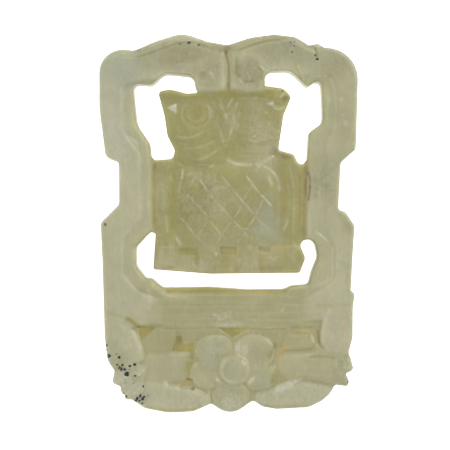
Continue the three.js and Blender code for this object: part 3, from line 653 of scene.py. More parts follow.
    wing_strokes: tuple[Stroke, ...] = (
        Stroke(((-7.25, 8.9), (-7.3, 7.9), (-7.45, 7)), 0.5, 0.17, 0.02),
        Stroke(((-7.45, 7.0), (-7.8, 5.8), (-7.9, 4.6)), 0.26, 0.18, 0.02),
        # Painted highlight, partly wear: the pale line along the breast's upper right edge.
        Stroke(((5.3, 9.25), (6.4, 8.8), (7.4, 7.9), (8.0, 6.6), (8.15, 5)), 0.42, 0.18, 0.02),
        Stroke(((6.2, 7.6), (6.7, 6.8), (7.05, 5.8)), 0.32, 0.24, 0.02),
        Stroke(((-9.0, 9.2), (-9.1, 4), (-8.9, -1.2)), 0.0, 0.42, 0.05, 1.3),
        Stroke(((-10.1, 6.6), (-10.2, 4.5), (-10.0, 2.2)), 0.12, 0.25, 0.03),
        Stroke(((-9.95, 1.6), (-9.85, 0), (-9.6, -1.5)), 0.38, 0.16, 0.04),
        Stroke(((-10.9, 5.5), (-10.9, 2.5), (-10.5, -0.8)), 0.0, 0.2, 0.04, 0.9),
        Stroke(((-11.95, 9.0), (-12.0, 4), (-11.9, -0.9)), 0.0, 0.22, 0.05, 1.1),
        Stroke(((8.9, 8.2), (9.05, 4), (8.95, 1.4)), 0.0, 0.36, 0.05, 0.9),
        Stroke(((9.5, 1.1), (9.2, 0), (8.7, -1.2)), 0.38, 0.16, 0.05),
        Stroke(((9.55, 9.6), (10.15, 7.8), (10.45, 5), (10.45, 1.5), (10.4, -1.6)), 0.24, 0.18, 0.06),
        Stroke(((10.25, -2.7), (10.7, -3.5), (11.2, -4.3)), 0.24, 0.16, 0.05),
        Stroke(((9.6, 6.5), (9.7, 4.2), (9.7, 2.2)), 0.12, 0.18, 0.03),
        Stroke(((11.2, 8.2), (11.3, 4), (11.1, -1.6)), 0.0, 0.22, 0.04, 0.9),
        Stroke(((11.9, 7), (12, 3), (11.9, -1.6)), 0.0, 0.24, 0.05, 0.8),
        Stroke(((-8.3, -2.0), (-7.9, -2.8), (-7.3, -3.4)), 0.6, 0.18, 0.05),
        Stroke(((-9.6, -2.2), (-9.2, -3.6), (-9.3, -5)), 0.16, 0.16, 0.04),
        Stroke(((-8.8, -2.0), (-8.7, -3.6), (-8.6, -5)), 0.12, 0.2, 0.04),
        Stroke(((-10.6, -2.4), (-10.2, -4.4), (-10.3, -6.2)), 0.1, 0.2, 0.03),
        Stroke(((9.3, -3.2), (9.8, -4.8), (10.9, -6.2)), 0.12, 0.2, 0.04),
        Stroke(((8.3, -2.2), (8.0, -3.4)), 0.12, 0.2, 0.03),
        Stroke(((-8.9, 8.8), (-9.5, 6)), 0.1, 0.3, 0.02),
    )
    foot_strokes: tuple[Stroke, ...] = (
        Stroke(((-5.7, -5.8), (-5.5, -6.4), (-5.15, -7.1)), 0.34, 0.14),
        Stroke(((-5.1, -5.4), (-4.9, -6.6), (-4.8, -7.5)), 0.14, 0.14),
        Stroke(((-4.35, -5.0), (-4.2, -6.4), (-4.2, -7.7)), 0.24, 0.18, 0.07),
        Stroke(((-3.2, -5.8), (-3.1, -7.7)), 0.08, 0.14, 0.05),
        Stroke(((-1.6, -5.2), (-1.6, -6.4), (-1.7, -7.7)), 0.24, 0.16, 0.07),
        Stroke(((1.75, -5.2), (1.85, -6.4), (1.8, -7.7)), 0.14, 0.18, 0.07),
        Stroke(((3.2, -5.9), (3.3, -7.7)), 0.05, 0.14, 0.05),
        Stroke(((4.4, -4.4), (4.5, -6.2), (4.4, -7.7)), 0.16, 0.18, 0.07),
        Stroke(((4.9, -4.6), (4.95, -6), (4.9, -7.6)), 0.0, 0.2, 0.06, 0.8),
        Stroke(((6.1, -5.25), (6.9, -5.4), (7.8, -5.85)), 0.36, 0.14),
        Stroke(((7.85, -5.1), (7.3, -5.5), (6.9, -5.85)), 0.3, 0.14),
    )

    def carve(self, relief: Relief, opening: np.ndarray) -> None:
        """Cut the owl inside the frame's window.

        Args:
            relief: The relief to cut.
            opening: Depth inside the frame's window at each place.
        """
        x, y = relief.x, relief.y
        own = Relief(x, y)
        own.height[:] = self.wing_top
        own.mark(Trace.OLIVE, 0.72 - 0.2 * smooth((-y - 1.5) / 3))
        shoulder = smooth((np.abs(x) - 8.3) / 1.2) * smooth((12.8 - np.abs(x)) / 2)
        own.height += shoulder * (0.15 * smooth((y + 3) / 9) + 0.05)
        base = smooth((-3.3 - y) / 0.5)
        own.height += 0.12 * base
        own.raise_form(Form(self.head, self.head_top, 0.8, foot=4.98, blend=0.08))
        own.height += 0.25 * smooth((y - 19.3) / 1.2)
        for centre, width in ((-4.7, 4.6), (3.9, 4.3)):
            cheek = (centre, 15.2, width, 5.2, 0)
            own.raise_form(Form((), 5.15, 3.6, foot=4.95, crown=0.15, reach=4.2, blend=0.4, oval=cheek))
        breast = self.belly_top - 0.25
        own.raise_form(Form(self.belly, breast, 1.9, foot=4.98, crown=0.25, reach=5.5, rim=0.06, olive=0.75))
        beak = ((-0.7, 17.6, 0.3), (-1.9, 15.9, 0.4), (-0.5, 12.3, 0.3), (0.7, 15.9, 0.4))
        own.raise_form(Form(beak, 5.34, 1.0, foot=5.2, crown=0.04, reach=1.1, blend=0.15))
        self.carve_eyes(own)
        self.carve_feet(own)
        for stroke in self.face_strokes + self.wing_strokes + self.foot_strokes:
            own.cut_stroke(stroke)
        for through, worn in self.lattice:
            own.cut_stroke(Stroke(through, worn, 0.11, 0.05, flank=0.9 * worn))
        self.carve_ears(own)
        share = smooth((opening + 0.35) / (0.8 + 0.9 * smooth((y - 18) / 2)))
        relief.height[:] = relief.height * (1 - share) + own.height * share
        for trace in Trace:
            mixed = relief.traces[trace] * (1 - share) + own.traces[trace] * share
            relief.traces[trace][:] = mixed

    def carve_eyes(self, own: Relief) -> None:
        """Cut both eyes as a disc with a ring round it, open towards the brow."""
        for (x, y, outer, inner), worn, depth in ((self.eye_left, 0.2, 0.05), (self.eye_right, 0.04, 0.02)):
            own.patch(Trace.OLIVE, Patch(x, y, outer - 0.2, outer - 0.2, 0.9, 0, 0.5))
            own.cut_stroke(Stroke(arc(x, y, outer, 130, 390), worn, 0.13, depth))
            own.cut_stroke(Stroke(arc(x, y, outer - 0.45, 120, 400), 0.0, 0.18, depth * 0.6, 0.85))
            own.cut_stroke(Stroke(arc(x, y, inner, 130, 400), worn, 0.13, depth))

    def carve_ears(self, own: Relief) -> None:
        """Cut the bright slanting facets below the ear tips."""
        left = ((-9.75, 18.65, 0.1), (-8.25, 19.1, 0.1), (-8.2, 17.5, 0.1))
        right = ((5.9, 19.15, 0.1), (7.15, 19.5, 0.1), (7.15, 18.75, 0.1))
        for triangle, slope, worn in ((left, (0.3, 0.25), 0.74), (right, (0.3, 0.3), 0.82)):
            outline = rounded_outline(triangle)
            part = own.window(outline, 0.5)
            depth = inside_depth(own.x[part], own.y[part], outline)
            middle = outline.mean(axis=0)
            plane = slope[0] * (own.x[part] - middle[0]) + slope[1] * (own.y[part] - middle[1]) - 0.1
            own.height[part] += smooth((depth + 0.1) / 0.3) * plane
            own.mark(Trace.MILK, worn * smooth((depth + 0.15) / 0.35), part)

    def carve_feet(self, own: Relief) -> None:
        """Raise the toes and sink the square notches between them."""
        for x in (-3.1, 3.1):
            own.raise_form(Form((), 5.2, 0.8, foot=5.05, crown=0.04, blend=0.12, oval=(x, -5.6, 1.4, 2.3, 0)))
        notches = (
            Gap(((-8.1, -3.6, 0.3), (-8.0, -5.1, 0.3), (-4.7, -5.1, 0.3), (-4.7, -3.6, 0.3)), 4.92, 0.6, (0, 0.02), 0.95, 0.0),
            Gap(((-1.55, -3.55, 0.3), (-1.5, -4.95, 0.3), (1.4, -4.95, 0.3), (1.4, -3.55, 0.3)), 4.86, 0.4, (0, -0.1), 1.2, 0.45),
            Gap(((4.5, -3.4, 0.2), (4.6, -4.5, 0.2), (6.6, -4.6, 0.3), (6.8, -3.6, 0.3)), 4.84, 0.5, (0.09, 0), 1.2, 0.1),
        )
        for notch in notches:
            own.sink(notch)


@dataclass
class Flower:
    """Five-lobed flower with a ringed boss."""

    petal_top: float = 5.6
    boss_top: float = 5.9
    boss: Point = (0.85, -23.05)
    petals: tuple[tuple[float, float, float, float, float], ...] = (
        (-3.5, -23.9, 2.3, 2.75, 80), (0.3, -27.2, 2.9, 2.8, 0), (4.9, -24.3, 2.2, 2.6, -80),
        (-2.2, -20.3, 2.9, 2.7, 30), (4.0, -20.4, 3.25, 2.85, -25),
    )
    strokes: tuple[Stroke, ...] = (
        Stroke(((-5.05, -20.6), (-5.0, -19.4), (-4.3, -18.4), (-3, -17.9), (-1.4, -17.9), (-0.3, -18.5)), 0.24, 0.2, 0.0),
        Stroke(((-5.3, -25.2), (-5.9, -24), (-5.6, -22.7), (-4.7, -21.9)), 0.28, 0.18, 0.0),
        # Painted highlights: the pale strokes with no cut starting at (6.05, -18.05), (-2.05, -24.3) and (2.05, -21.55)
        # lie on the petal and ring edges that face the light.
        Stroke(((6.05, -18.05), (6.5, -18.5), (6.95, -19.1)), 0.6, 0.2, 0.0),
        Stroke(((-3.1, -25.9), (-3.15, -27), (-2.9, -28)), 0.22, 0.2, 0.0),
        Stroke(((7.15, -19.4), (6.7, -20.6), (6.1, -21.3)), 0.0, 0.25, 0.06, 0.8),
        Stroke(((7.25, -23.4), (7.15, -24.6), (6.8, -25.6)), 0.0, 0.3, 0.08, 0.8),
        Stroke(((-2.2, -21.2), (-0.8, -20.9), (0.8, -20.8), (2.4, -21.1)), 0.0, 0.3, 0.04, 0.35),
        Stroke(((-2.05, -24.3), (-1.6, -24.85), (-1.0, -25.3)), 0.6, 0.17, 0.0),
        Stroke(((2.05, -21.55), (2.4, -21.9), (2.7, -22.4)), 0.5, 0.15, 0.0),
        Stroke(((3.1, -25.4), (3.5, -24.9), (4.1, -24.3)), 0.6, 0.26, 0.0),
        Stroke(((5.9, -21.6), (5.95, -22.3), (6.2, -22.9)), 0.14, 0.25, 0.03),
        Stroke(((7.3, -22.4), (7.4, -22.8)), 0.4, 0.16, 0.03),
        Stroke(((-3.2, -19.2), (-2.6, -20.2), (-2.3, -21)), 0.12, 0.22, 0.0),
        Stroke(((2.6, -28.2), (2.2, -28.9), (1.8, -29.4)), 0.14, 0.16, 0.03),
    )

    def carve(self, relief: Relief) -> None:
        """Cut the petals, each dished inside its rolled edge, and then the boss over them."""
        for petal in self.petals:
            x, y, half_width, _, _ = petal
            relief.raise_form(Form((), self.petal_top, 1.1, foot=5.46, blend=0.08, pale=0.4, rim=0.08, olive=0.3,
                                   oval=petal))
            part = relief.window(np.array(((x, y),)), 2.4)
            away = np.hypot(relief.x[part] - x, relief.y[part] - y)
            relief.height[part] -= 0.1 * np.exp(-((away / (0.55 * half_width)) ** 2))
        x, y = self.boss
        relief.raise_form(Form((), self.boss_top - 0.1, 0.8, foot=5.45, blend=0.12, pale=0.2, oval=(x, y, 2.8, 2.8, 0)))
        relief.cut_stroke(Stroke(arc(x, y, 1.95, 20, 380), 0.12, 0.22, 0.05))
        relief.cut_stroke(Stroke(arc(x, y, 1.95, 110, 270), 0.45, 0.24, 0.0))
        part = relief.window(np.array(((x, y),)), 1.9)
        away = np.hypot(relief.x[part] - x, relief.y[part] - y)
        relief.height[part] += 0.1 * smooth((1.8 - away) / 1.2)
        relief.mark(Trace.SMOKE, 0.3 * smooth((2.0 - away) / 0.8), part)
        for stroke in self.strokes:
            relief.cut_stroke(stroke)


@dataclass
class Foliage:
    """Leaves, bud and lobes round the flower, and the drilled gaps between them."""

    forms: tuple[Form, ...] = (
        Form(((-12, -15.8, 0.5), (-8.1, -17.0, 0.5), (-9.4, -20.4, 0.5), (-13.3, -20.6, 0.5),
              (-13.3, -18.6, 0.8)), 5.45, 0.8, foot=5.3, olive=0.3),
        Form(((-8.8, -15.7, 0.5), (-2.2, -15.7, 0.8), (-4.8, -18.3, 0.5), (-7.6, -18.1, 0.5)),
             5.45, 0.8, foot=5.3, olive=0.3),
        Form(((3.4, -15.7, 0.8), (10.2, -15.7, 0.5), (9.4, -19.4, 0.5), (7.4, -19.4, 0.5),
              (6.4, -17.8, 0.5)), 5.45, 0.8, foot=5.3, olive=0.3),
        Form(((9.2, -17.0, 0.8), (12.6, -16.9, 0.8), (14.1, -19.7, 0.8), (8, -20, 0.8)),
             5.52, 0.8, foot=5.44, pale=0.3, olive=0.15),
        Form(((-23, -13.3, 0), (-18.6, -13.9, 1), (-16.2, -15.4, 1.5), (-14.5, -17.6, 3), (-13.5, -20, 2),
              (-13.2, -21.6, 0.6), (-16, -23, 1), (-23, -23.6, 0)), 5.72, 0.9, foot=5.5, pale=0.9, rim=0.08),
        Form(((23, -12.5, 0), (16.2, -12.5, 1), (14.8, -15.6, 2.5), (14.55, -18.6, 1), (15.5, -20.5, 1),
              (23, -20.9, 0)), 5.74, 0.9, foot=5.64, pale=1.1, rim=0.06),
        Form(((-23, -22.0, 0), (-15.4, -21.6, 1), (-12.6, -22.4, 1), (-13.2, -26, 1), (-15, -31, 0),
              (-23, -31, 0)), 5.6, 0.8, foot=5.45, pale=0.9),
        Form(((-13.5, -20.5, 1), (-9.6, -20.3, 0.7), (-5.8, -20.3, 0.7), (-6.4, -22.5, 1.5),
              (-5.9, -24.6, 0.7), (-9.3, -25.4, 1), (-13.6, -25.6, 0.8)), 5.52, 1.2, foot=5.42, pale=0.5),
        Form(((-14.4, -24.4, 1.2), (-9.2, -25.2, 1.5), (-5.2, -26.0, 1), (-2.9, -27.4, 1),
              (-2.6, -31, 0), (-16.4, -31, 0)), 5.62, 1.1, foot=5.47, crown=0.03, reach=1.6, pale=1.15),
        Form(((7.9, -20.4, 1.6), (13, -20.3, 3), (15.2, -19.2, 1.0), (23, -18.9, 0), (23, -24.9, 0),
              (16.8, -25.8, 1.2), (12.5, -24.8, 4), (9, -24.9, 2), (7.6, -22.6, 1.8)), 5.6, 1.2,
             foot=5.42, crown=0.05, reach=2, pale=0.45),
        Form(((4.2, -26.4, 1), (7.6, -25.9, 2), (11.5, -24.7, 2), (17.4, -25.8, 1), (19, -31, 0),
              (3.6, -31, 0)), 5.65, 1.1, foot=5.47, crown=0.03, reach=1.6, pale=1.1),
    )
    strokes: tuple[Stroke, ...] = (
        Stroke(((-14.95, -24.0), (-14.2, -23.3), (-13.6, -22.65)), 0.55, 0.14, 0.04),
        Stroke(((-14.45, -24.1), (-13.8, -23.5), (-13.2, -22.85)), 0.85, 0.14, 0.04),
        Stroke(((-14.0, -24.6), (-13.4, -24), (-12.8, -23.5)), 0.12, 0.13, 0.03),
        Stroke(((-15.9, -16.0), (-15.0, -17.4), (-14.2, -19), (-13.7, -20.6)), 0.3, 0.15, 0.02),
        Stroke(((-17.2, -15.6), (-16.1, -16.9), (-15.3, -18.4)), 0.16, 0.22, 0.03),
        Stroke(((-19.2, -14.0), (-17.8, -14.4), (-16.6, -14.9)), 0.0, 0.2, 0.02, 0.3),
        Stroke(((-16.5, -14.9), (-15.5, -15.3), (-14.4, -16.3)), 0.0, 0.24, 0.04, 1.0),
        Stroke(((10.2, -20.9), (12, -20.75), (13.6, -20.6)), 0.24, 0.16, 0.03),
        Stroke(((12.6, -21.1), (15, -21.0), (17, -21.3)), 0.0, 0.2, 0.07, 0.4),
        Stroke(((11, -22.6), (13.5, -22.4), (16.6, -22.8)), 0.08, 0.2, 0.03),
        Stroke(((15.6, -23.9), (13.2, -23.8), (10.8, -23.6)), 0.08, 0.2, 0.03),
        Stroke(((16.3, -13.3), (15.5, -14.6), (15.0, -16.4), (14.85, -18), (15.1, -19.3)), 0.26, 0.24, 0.0),
        Stroke(((13.95, -16.5), (14.2, -17.8), (14.4, -19.2)), 0.0, 0.2, 0.05, 0.95),
        Stroke(((13.15, -17.5), (13.4, -18.1), (13.55, -18.7)), 0.42, 0.17, 0.05),
        Stroke(((13.95, -19.0), (14.2, -19.4)), 0.4, 0.16, 0.05),
        Stroke(((9.8, -17.2), (11.4, -17.25), (12.6, -17.4), (13.1, -18.2)), 0.0, 0.16, 0.06, 0.6),
        Stroke(((10.2, -16.9), (12, -16.8), (13.6, -16.8)), 0.16, 0.17, 0.0, 0.4),
        Stroke(((9.7, -16.4), (11.6, -16.3), (13.6, -16.4)), 0.0, 0.17, 0.02, 0.6),
        Stroke(((-11.2, -16.5), (-8, -16.6), (-2.2, -16.5)), 0.0, 0.16, 0.05, 0.3),
        Stroke(((3.4, -16.6), (6.4, -16.7), (9.4, -16.5)), 0.0, 0.16, 0.05, 0.45),
        Stroke(((3.4, -16.3), (6.4, -16.4), (9.4, -16.2)), 0.1, 0.15, 0.0),
        Stroke(((-5.6, -20.2), (-6.0, -21.4), (-6.4, -22.8), (-6.2, -24.4)), 0.0, 0.4, 0.02, 0.75),
        Stroke(((-9.4, -20.6), (-7.8, -20.7), (-6.2, -20.6)), 0.28, 0.24, 0.0),
        Stroke(((-6.8, -21.4), (-6.2, -21.5), (-5.9, -21.7)), 0.3, 0.16, 0.03),
        Stroke(((-12.9, -28.0), (-9, -28.9), (-5, -28.8), (-3.3, -28.2)), 0.12, 0.16, 0.03),
        Stroke(((-12, -27.2), (-8.6, -28.0), (-4.6, -27.7)), 0.08, 0.16, 0.03),
        Stroke(((-13.2, -29), (-9.4, -29.6), (-6, -29.4), (-4, -28.8)), 0.0, 0.2, 0.0, 0.45),
        Stroke(((5.4, -28.2), (8, -28.6), (12, -28.4), (15.2, -27.2)), 0.12, 0.16, 0.04),
        Stroke(((5.4, -28.7), (8, -29), (12, -28.8)), 0.0, 0.16, 0.0, 0.5),
        Stroke(((13, -26.2), (11.4, -25.9), (9.6, -26.1), (8.4, -26.6)), 0.1, 0.2, 0.03),
        Stroke(((7.2, -27.5), (10.5, -27.6), (14.2, -26.6)), 0.08, 0.18, 0.03),
        Stroke(((-4.6, -26.4), (-3.8, -26), (-3.2, -25.4)), 0.12, 0.18, 0.03),
        Stroke(((18.1, -20.9), (18.5, -21.9), (18.7, -23.2)), 0.24, 0.17, 0.05),
        Stroke(((18.9, -21.1), (19.2, -22.0), (19.3, -22.9)), 0.34, 0.18, 0.03),
        Stroke(((17.0, -21.9), (17.3, -22.4), (17.4, -23)), 0.26, 0.15, 0.03),
        Stroke(((18.6, -13.8), (18.7, -16), (18.6, -18.8)), 0.14, 0.2, 0.04),
        Stroke(((13.6, -12.9), (16.4, -12.9), (19.6, -12.8)), 0.0, 0.16, 0.01, 0.2),
        Stroke(((7.2, -18.9), (7.5, -19.6)), 0.0, 0.25, 0.1, 0.8),
    )
    gaps: tuple[Gap, ...] = (
        Gap(((-14.5, -16.15, 0.1), (-13.85, -18.6, 0.15), (-11.3, -16.3, 0.1)), 5.3, 0.35, (0.05, -0.03), 1.25, 0.25),
        Gap(((-2.0, -16.35, 0.1), (0.5, -18.1, 0.2), (3.4, -16.45, 0.1)), 5.22, 0.35, (0.03, -0.04), 1.3, 0.1),
        Gap(((-8.2, -17.7, 0.1), (-9.1, -20.2, 0.2), (-5.5, -20.3, 0.2), (-5.4, -18.7, 0.1), (-7.0, -19.1, 0.1),
             (-7.4, -17.8, 0.1)), 5.28, 0.3, (0.02, -0.04), 1.35, 0.1),
        Gap(((-8.4, -26.1, 0.3), (-5.4, -26.3, 0.2), (-5.6, -24.6, 0.2), (-6.6, -24.5, 0.3)), 5.3, 0.35,
            (-0.02, -0.08), 0.6, 0.0),
    )

    def carve(self, relief: Relief) -> None:
        """Cut the leaves and lobes."""
        relief.mark(Trace.OLIVE, 0.16 * smooth((-15.6 - relief.y) / 0.8))
        for form in self.forms:
            relief.raise_form(form)

    def finish(self, relief: Relief) -> None:
        """Cut the veins, and drill the gaps once the flower is in place."""
        for stroke in self.strokes:
            relief.cut_stroke(stroke)
        for gap in self.gaps:
            relief.sink(gap)


@dataclass
class Inclusions:
    """Clouds, stains and black specks in the stone, darker patches of tone, and two patches of painted shade."""

    rust: tuple[Patch, ...] = (
        Patch(-10.5, 20.1, 0.5, 0.6, 0.2, 0, 1.0), Patch(9.2, 20.0, 0.5, 0.45, 0.5, 20, 0.9), Patch(-0.1, 27.9, 0.55, 0.4, 0.65),
        Patch(-0.4, 27.2, 0.25, 0.6, 0.7), Patch(12.2, 8.5, 0.5, 0.6, 0.35), Patch(8.6, 10.8, 1.4, 0.35, 0.45, -12),
        Patch(7.55, 11.6, 0.4, 0.5, 0.55), Patch(-11.7, 9.1, 0.35, 0.4, 0.5), 
        Patch(8.9, 4.6, 0.3, 2.6, 0.14), Patch(6.2, -7.1, 1.5, 0.5, 0.2), Patch(0.0, -6.0, 0.9, 0.8, 0.18),
        Patch(1.4, -7.1, 0.5, 0.6, 0.35), Patch(5.2, -7.1, 0.4, 0.6, 0.35), Patch(11.6, 3.5, 0.3, 3.5, 0.22),
        Patch(11.0, -16.2, 0.3, 0.1, 0.35), Patch(13.0, -16.35, 0.15, 0.1, 0.3), Patch(-14.3, -16.2, 0.3, 0.25, 0.55),
        Patch(-8.9, 13.6, 0.25, 0.5, 0.25), Patch(-9.4, -6.95, 1.2, 0.25, 0.4), Patch(-11.5, -5, 0.3, 1.6, 0.3),
        Patch(-5.1, -5.7, 0.4, 0.7, 0.22), Patch(-5.65, -26.05, 0.3, 0.25, 0.9), Patch(-6.2, -24.6, 0.5, 0.2, 0.7),
        Patch(-7.9, -18.5, 0.35, 0.6, 0.6, 15), Patch(-14.4, 27.6, 0.6, 0.2, 0.5), Patch(11.6, -5.2, 0.5, 1.2, 0.25),
         Patch(7.4, 1.5, 0.3, 2.5, 0.12),
    )
    amber: tuple[Patch, ...] = (
        Patch(-13.3, -16.9, 1.0, 1.1, 0.3), Patch(-7.3, -19.4, 1.6, 0.9, 0.3), Patch(18.2, -16.0, 0.4, 2.6, 0.2, 0, 0.9),
        Patch(8.7, -18.2, 0.6, 0.8, 0.16, 0, 0.9),
        Patch(8.9, 5.0, 0.45, 3.0, 0.26, 0, 0.9), Patch(12.0, 3.2, 0.4, 5.0, 0.25), Patch(-11.8, 3.0, 0.45, 5.0, 0.22),
        Patch(6.6, -5.0, 1.8, 1.1, 0.2, -15, 1.0), Patch(7.8, -4.1, 1.0, 0.5, 0.15, 0, 1.0), Patch(5.4, -6.6, 0.8, 0.9, 0.2),
        Patch(-7.0, -25.6, 1.0, 0.5, 0.36), Patch(11.0, -18.5, 2.4, 1.4, 0.16, 0, 0.8), Patch(8.6, -20.6, 0.7, 0.5, 0.3, 10),
        Patch(9.6, -24.4, 1.3, 0.35, 0.35), Patch(0.2, -4.2, 1.4, 0.5, 0.22), Patch(-0.1, -6.6, 1.6, 1.0, 0.16),
        Patch(9.0, -19.7, 1.3, 0.34, 0.85, 8, 0.6), Patch(8.1, -20.9, 0.45, 1.0, 0.45, 10), Patch(8.4, -22.8, 0.5, 1.3, 0.26, 5),
        Patch(11.2, -16.25, 0.9, 0.22, 0.3), Patch(2.3, -16.8, 0.9, 0.3, 0.5), Patch(9.6, -24.5, 1.4, 0.3, 0.3),
        Patch(-7.0, -25.3, 1.0, 0.4, 0.35), Patch(12.55, 6, 0.2, 2.0, 0.35), Patch(-7.9, -10.9, 0.8, 0.2, 0.35),
        Patch(12.3, 8.8, 0.3, 0.7, 0.4), Patch(15.2, -6.8, 0.25, 1.3, 0.12), Patch(7.6, -3.9, 1.5, 0.4, 0.25),
    )
    milk: tuple[Patch, ...] = (
        Patch(0.3, -27.8, 1.6, 1.4, 0.12, 0, 1.0), Patch(-16.5, 25, 1.6, 1.4, 0.06, 0, 1.0),
        Patch(-4.6, 0.8, 1.1, 0.8, 0.12, 20, 1.0), Patch(-0.6, 0.6, 1.0, 0.8, 0.12, -30, 1.0), Patch(2.6, 2.4, 0.9, 0.9, 0.1, 0, 1.0),
        Patch(-18.4, 14.5, 1.8, 5.5, 0.2, 0, 0.9), Patch(-18.2, 11, 1.4, 1.6, 0.12), Patch(-10.7, 4.5, 0.9, 4.5, 0.13, 0, 0.9),
        Patch(-2.0, 2.6, 1.5, 1.5, 0.2, 0, 1.0), Patch(0.6, 4.0, 1.3, 1.3, 0.14, 0, 1.0), Patch(-5.2, 7.4, 1.1, 1.0, 0.16, 0, 1.0),
        Patch(-2.5, -20.0, 1.2, 1.2, 0.2, 0, 1.0), Patch(0.1, -16.0, 2.2, 0.4, 0.25), Patch(-9, -28.2, 5.5, 1.2, 0.14, 3, 0.9),
        Patch(11, -27.2, 4.5, 1.0, 0.1, 5, 0.9), Patch(-4.0, -6.8, 0.8, 0.8, 0.2), Patch(-11.0, -5.6, 1.0, 1.6, 0.22, 0, 0.9),
        Patch(-17, -18, 2.2, 2.6, 0.08), Patch(17.2, -17, 2.0, 3.0, 0.05), Patch(-3.1, -6.0, 0.9, 1.2, 0.12),
        Patch(1.6, -19.8, 0.5, 0.8, 0.35, 0, 0.9), Patch(2.5, -19.9, 0.5, 0.8, 0.35, 0, 0.9), Patch(8.4, -25.9, 1.5, 0.55, 0.5, 22, 0.35),
        Patch(10.2, -25.05, 1.4, 0.32, 0.62, 12, 0.4), Patch(11.0, -25.9, 2.0, 0.35, 0.16, 8), Patch(7.4, -26.8, 0.35, 0.5, 0.3, 0, 0.5), Patch(-17.2, -24.3, 1.3, 1.2, 0.3),
        Patch(-15.2, -26.2, 1.6, 1.0, 0.3, -30), Patch(12.4, -13.9, 1.5, 1.2, 0.1), Patch(7.75, -27.2, 0.25, 0.35, 0.42), Patch(-0.9, -14.8, 1.0, 0.8, 0.22),
        Patch(-1.5, -14.8, 0.2, 0.5, 0.3), Patch(0.6, -15.6, 1.2, 0.35, 0.18), Patch(-0.4, -14.1, 0.4, 0.15, 0.35),
        Patch(0, -28.4, 0.9, 1.3, 0.3, 20, 0.9), Patch(-1.9, 5.2, 1.3, 0.9, 0.3, 20, 1.0), Patch(-2.6, 7.0, 1.0, 0.7, 0.2, 0, 1.0),
        Patch(-9.9, -25.4, 0.28, 0.5, 0.5, 25), Patch(7.05, 10.75, 0.25, 0.25, 0.8), Patch(-1.95, -4.75, 0.17, 0.35, 0.62),
        Patch(8.6, -13.6, 0.4, 0.22, 0.3), Patch(12.6, -13.6, 0.3, 0.2, 0.18), Patch(-12.8, -13.2, 0.5, 0.16, 0.25, -35),
        Patch(-17.8, -24.9, 0.7, 0.5, 0.4), Patch(-16, -26.4, 0.7, 0.7, 0.28), Patch(18.5, 16, 0.3, 0.4, 0.3),
        Patch(17.8, 19.8, 0.4, 0.35, 0.2), Patch(18.2, 17.3, 0.2, 0.2, 0.2), Patch(5.2, 12.6, 3.4, 4.0, 0.2, 0, 0.8, 0.8), Patch(0, -2, 5, 2.4, 0.12), Patch(-9, -6.4, 3, 1.4, 0.14), Patch(3, -6.4, 3, 1.4, 0.12),
        Patch(1.0, 16.2, 0.7, 1.9, 0.16), Patch(0.3, 17.6, 0.9, 0.8, 0.14), Patch(-5.2, 3.4, 1.6, 1.8, 0.1), Patch(-2.8, 17.6, 0.4, 0.9, 0.2),
        Patch(19.3, -22.4, 0.35, 0.9, 0.3), Patch(14.2, 28.3, 0.6, 0.3, 0.4), Patch(-14.7, -5, 0.4, 1.2, 0.25),
        Patch(12.8, -0.2, 0.35, 1.8, 0.2), Patch(-7, 29.3, 2.4, 0.35, 0.18), Patch(-6.8, -26.0, 1.4, 0.25, 0.3),
        Patch(-5.0, -20.6, 0.3, 0.9, 0.22),
    )
    smoke: tuple[Patch, ...] = (
        Patch(-18.0, 25.0, 5.0, 4.5, 0.6, 0, 0.9), Patch(-19.0, 17, 3.0, 8.0, 0.3, 0, 0.9),
        Patch(-11.3, 26.9, 0.5, 0.9, 0.5, -15, 0.6), Patch(-11.6, 25.5, 0.5, 0.6, 0.4, 0, 0.6),
        Patch(5.9, -0.2, 2.0, 3.4, 0.68, 0, 0.9), Patch(-18.6, -19.3, 0.8, 0.4, 0.6),
        Patch(3.7, 17.4, 1.3, 1.5, 0.1, 0, 0.7), Patch(-18.8, -21.0, 0.6, 0.6, 0.35, 0, 0.7),
        Patch(-13.1, 2, 0.35, 0.8, 0.2, 0, 0.8), Patch(5.0, -24.8, 1.0, 1.1, 0.25, 0, 1.0), Patch(-2.6, -20.6, 1.2, 1.6, 0.2, 30, 1.0),
        Patch(10.1, 28.2, 0.8, 0.6, 0.2, 0, 0.7), Patch(-6.1, 28.6, 0.8, 0.3, 0.35, 0, 0.7), Patch(8, 28, 1.6, 1, 0.14),
        Patch(0, -29, 1.4, 0.6, 0.25),
        Patch(-18.9, 24.8, 0.6, 0.9, 0.16), Patch(15.9, 26.5, 2.2, 1.4, 0.1),
    )
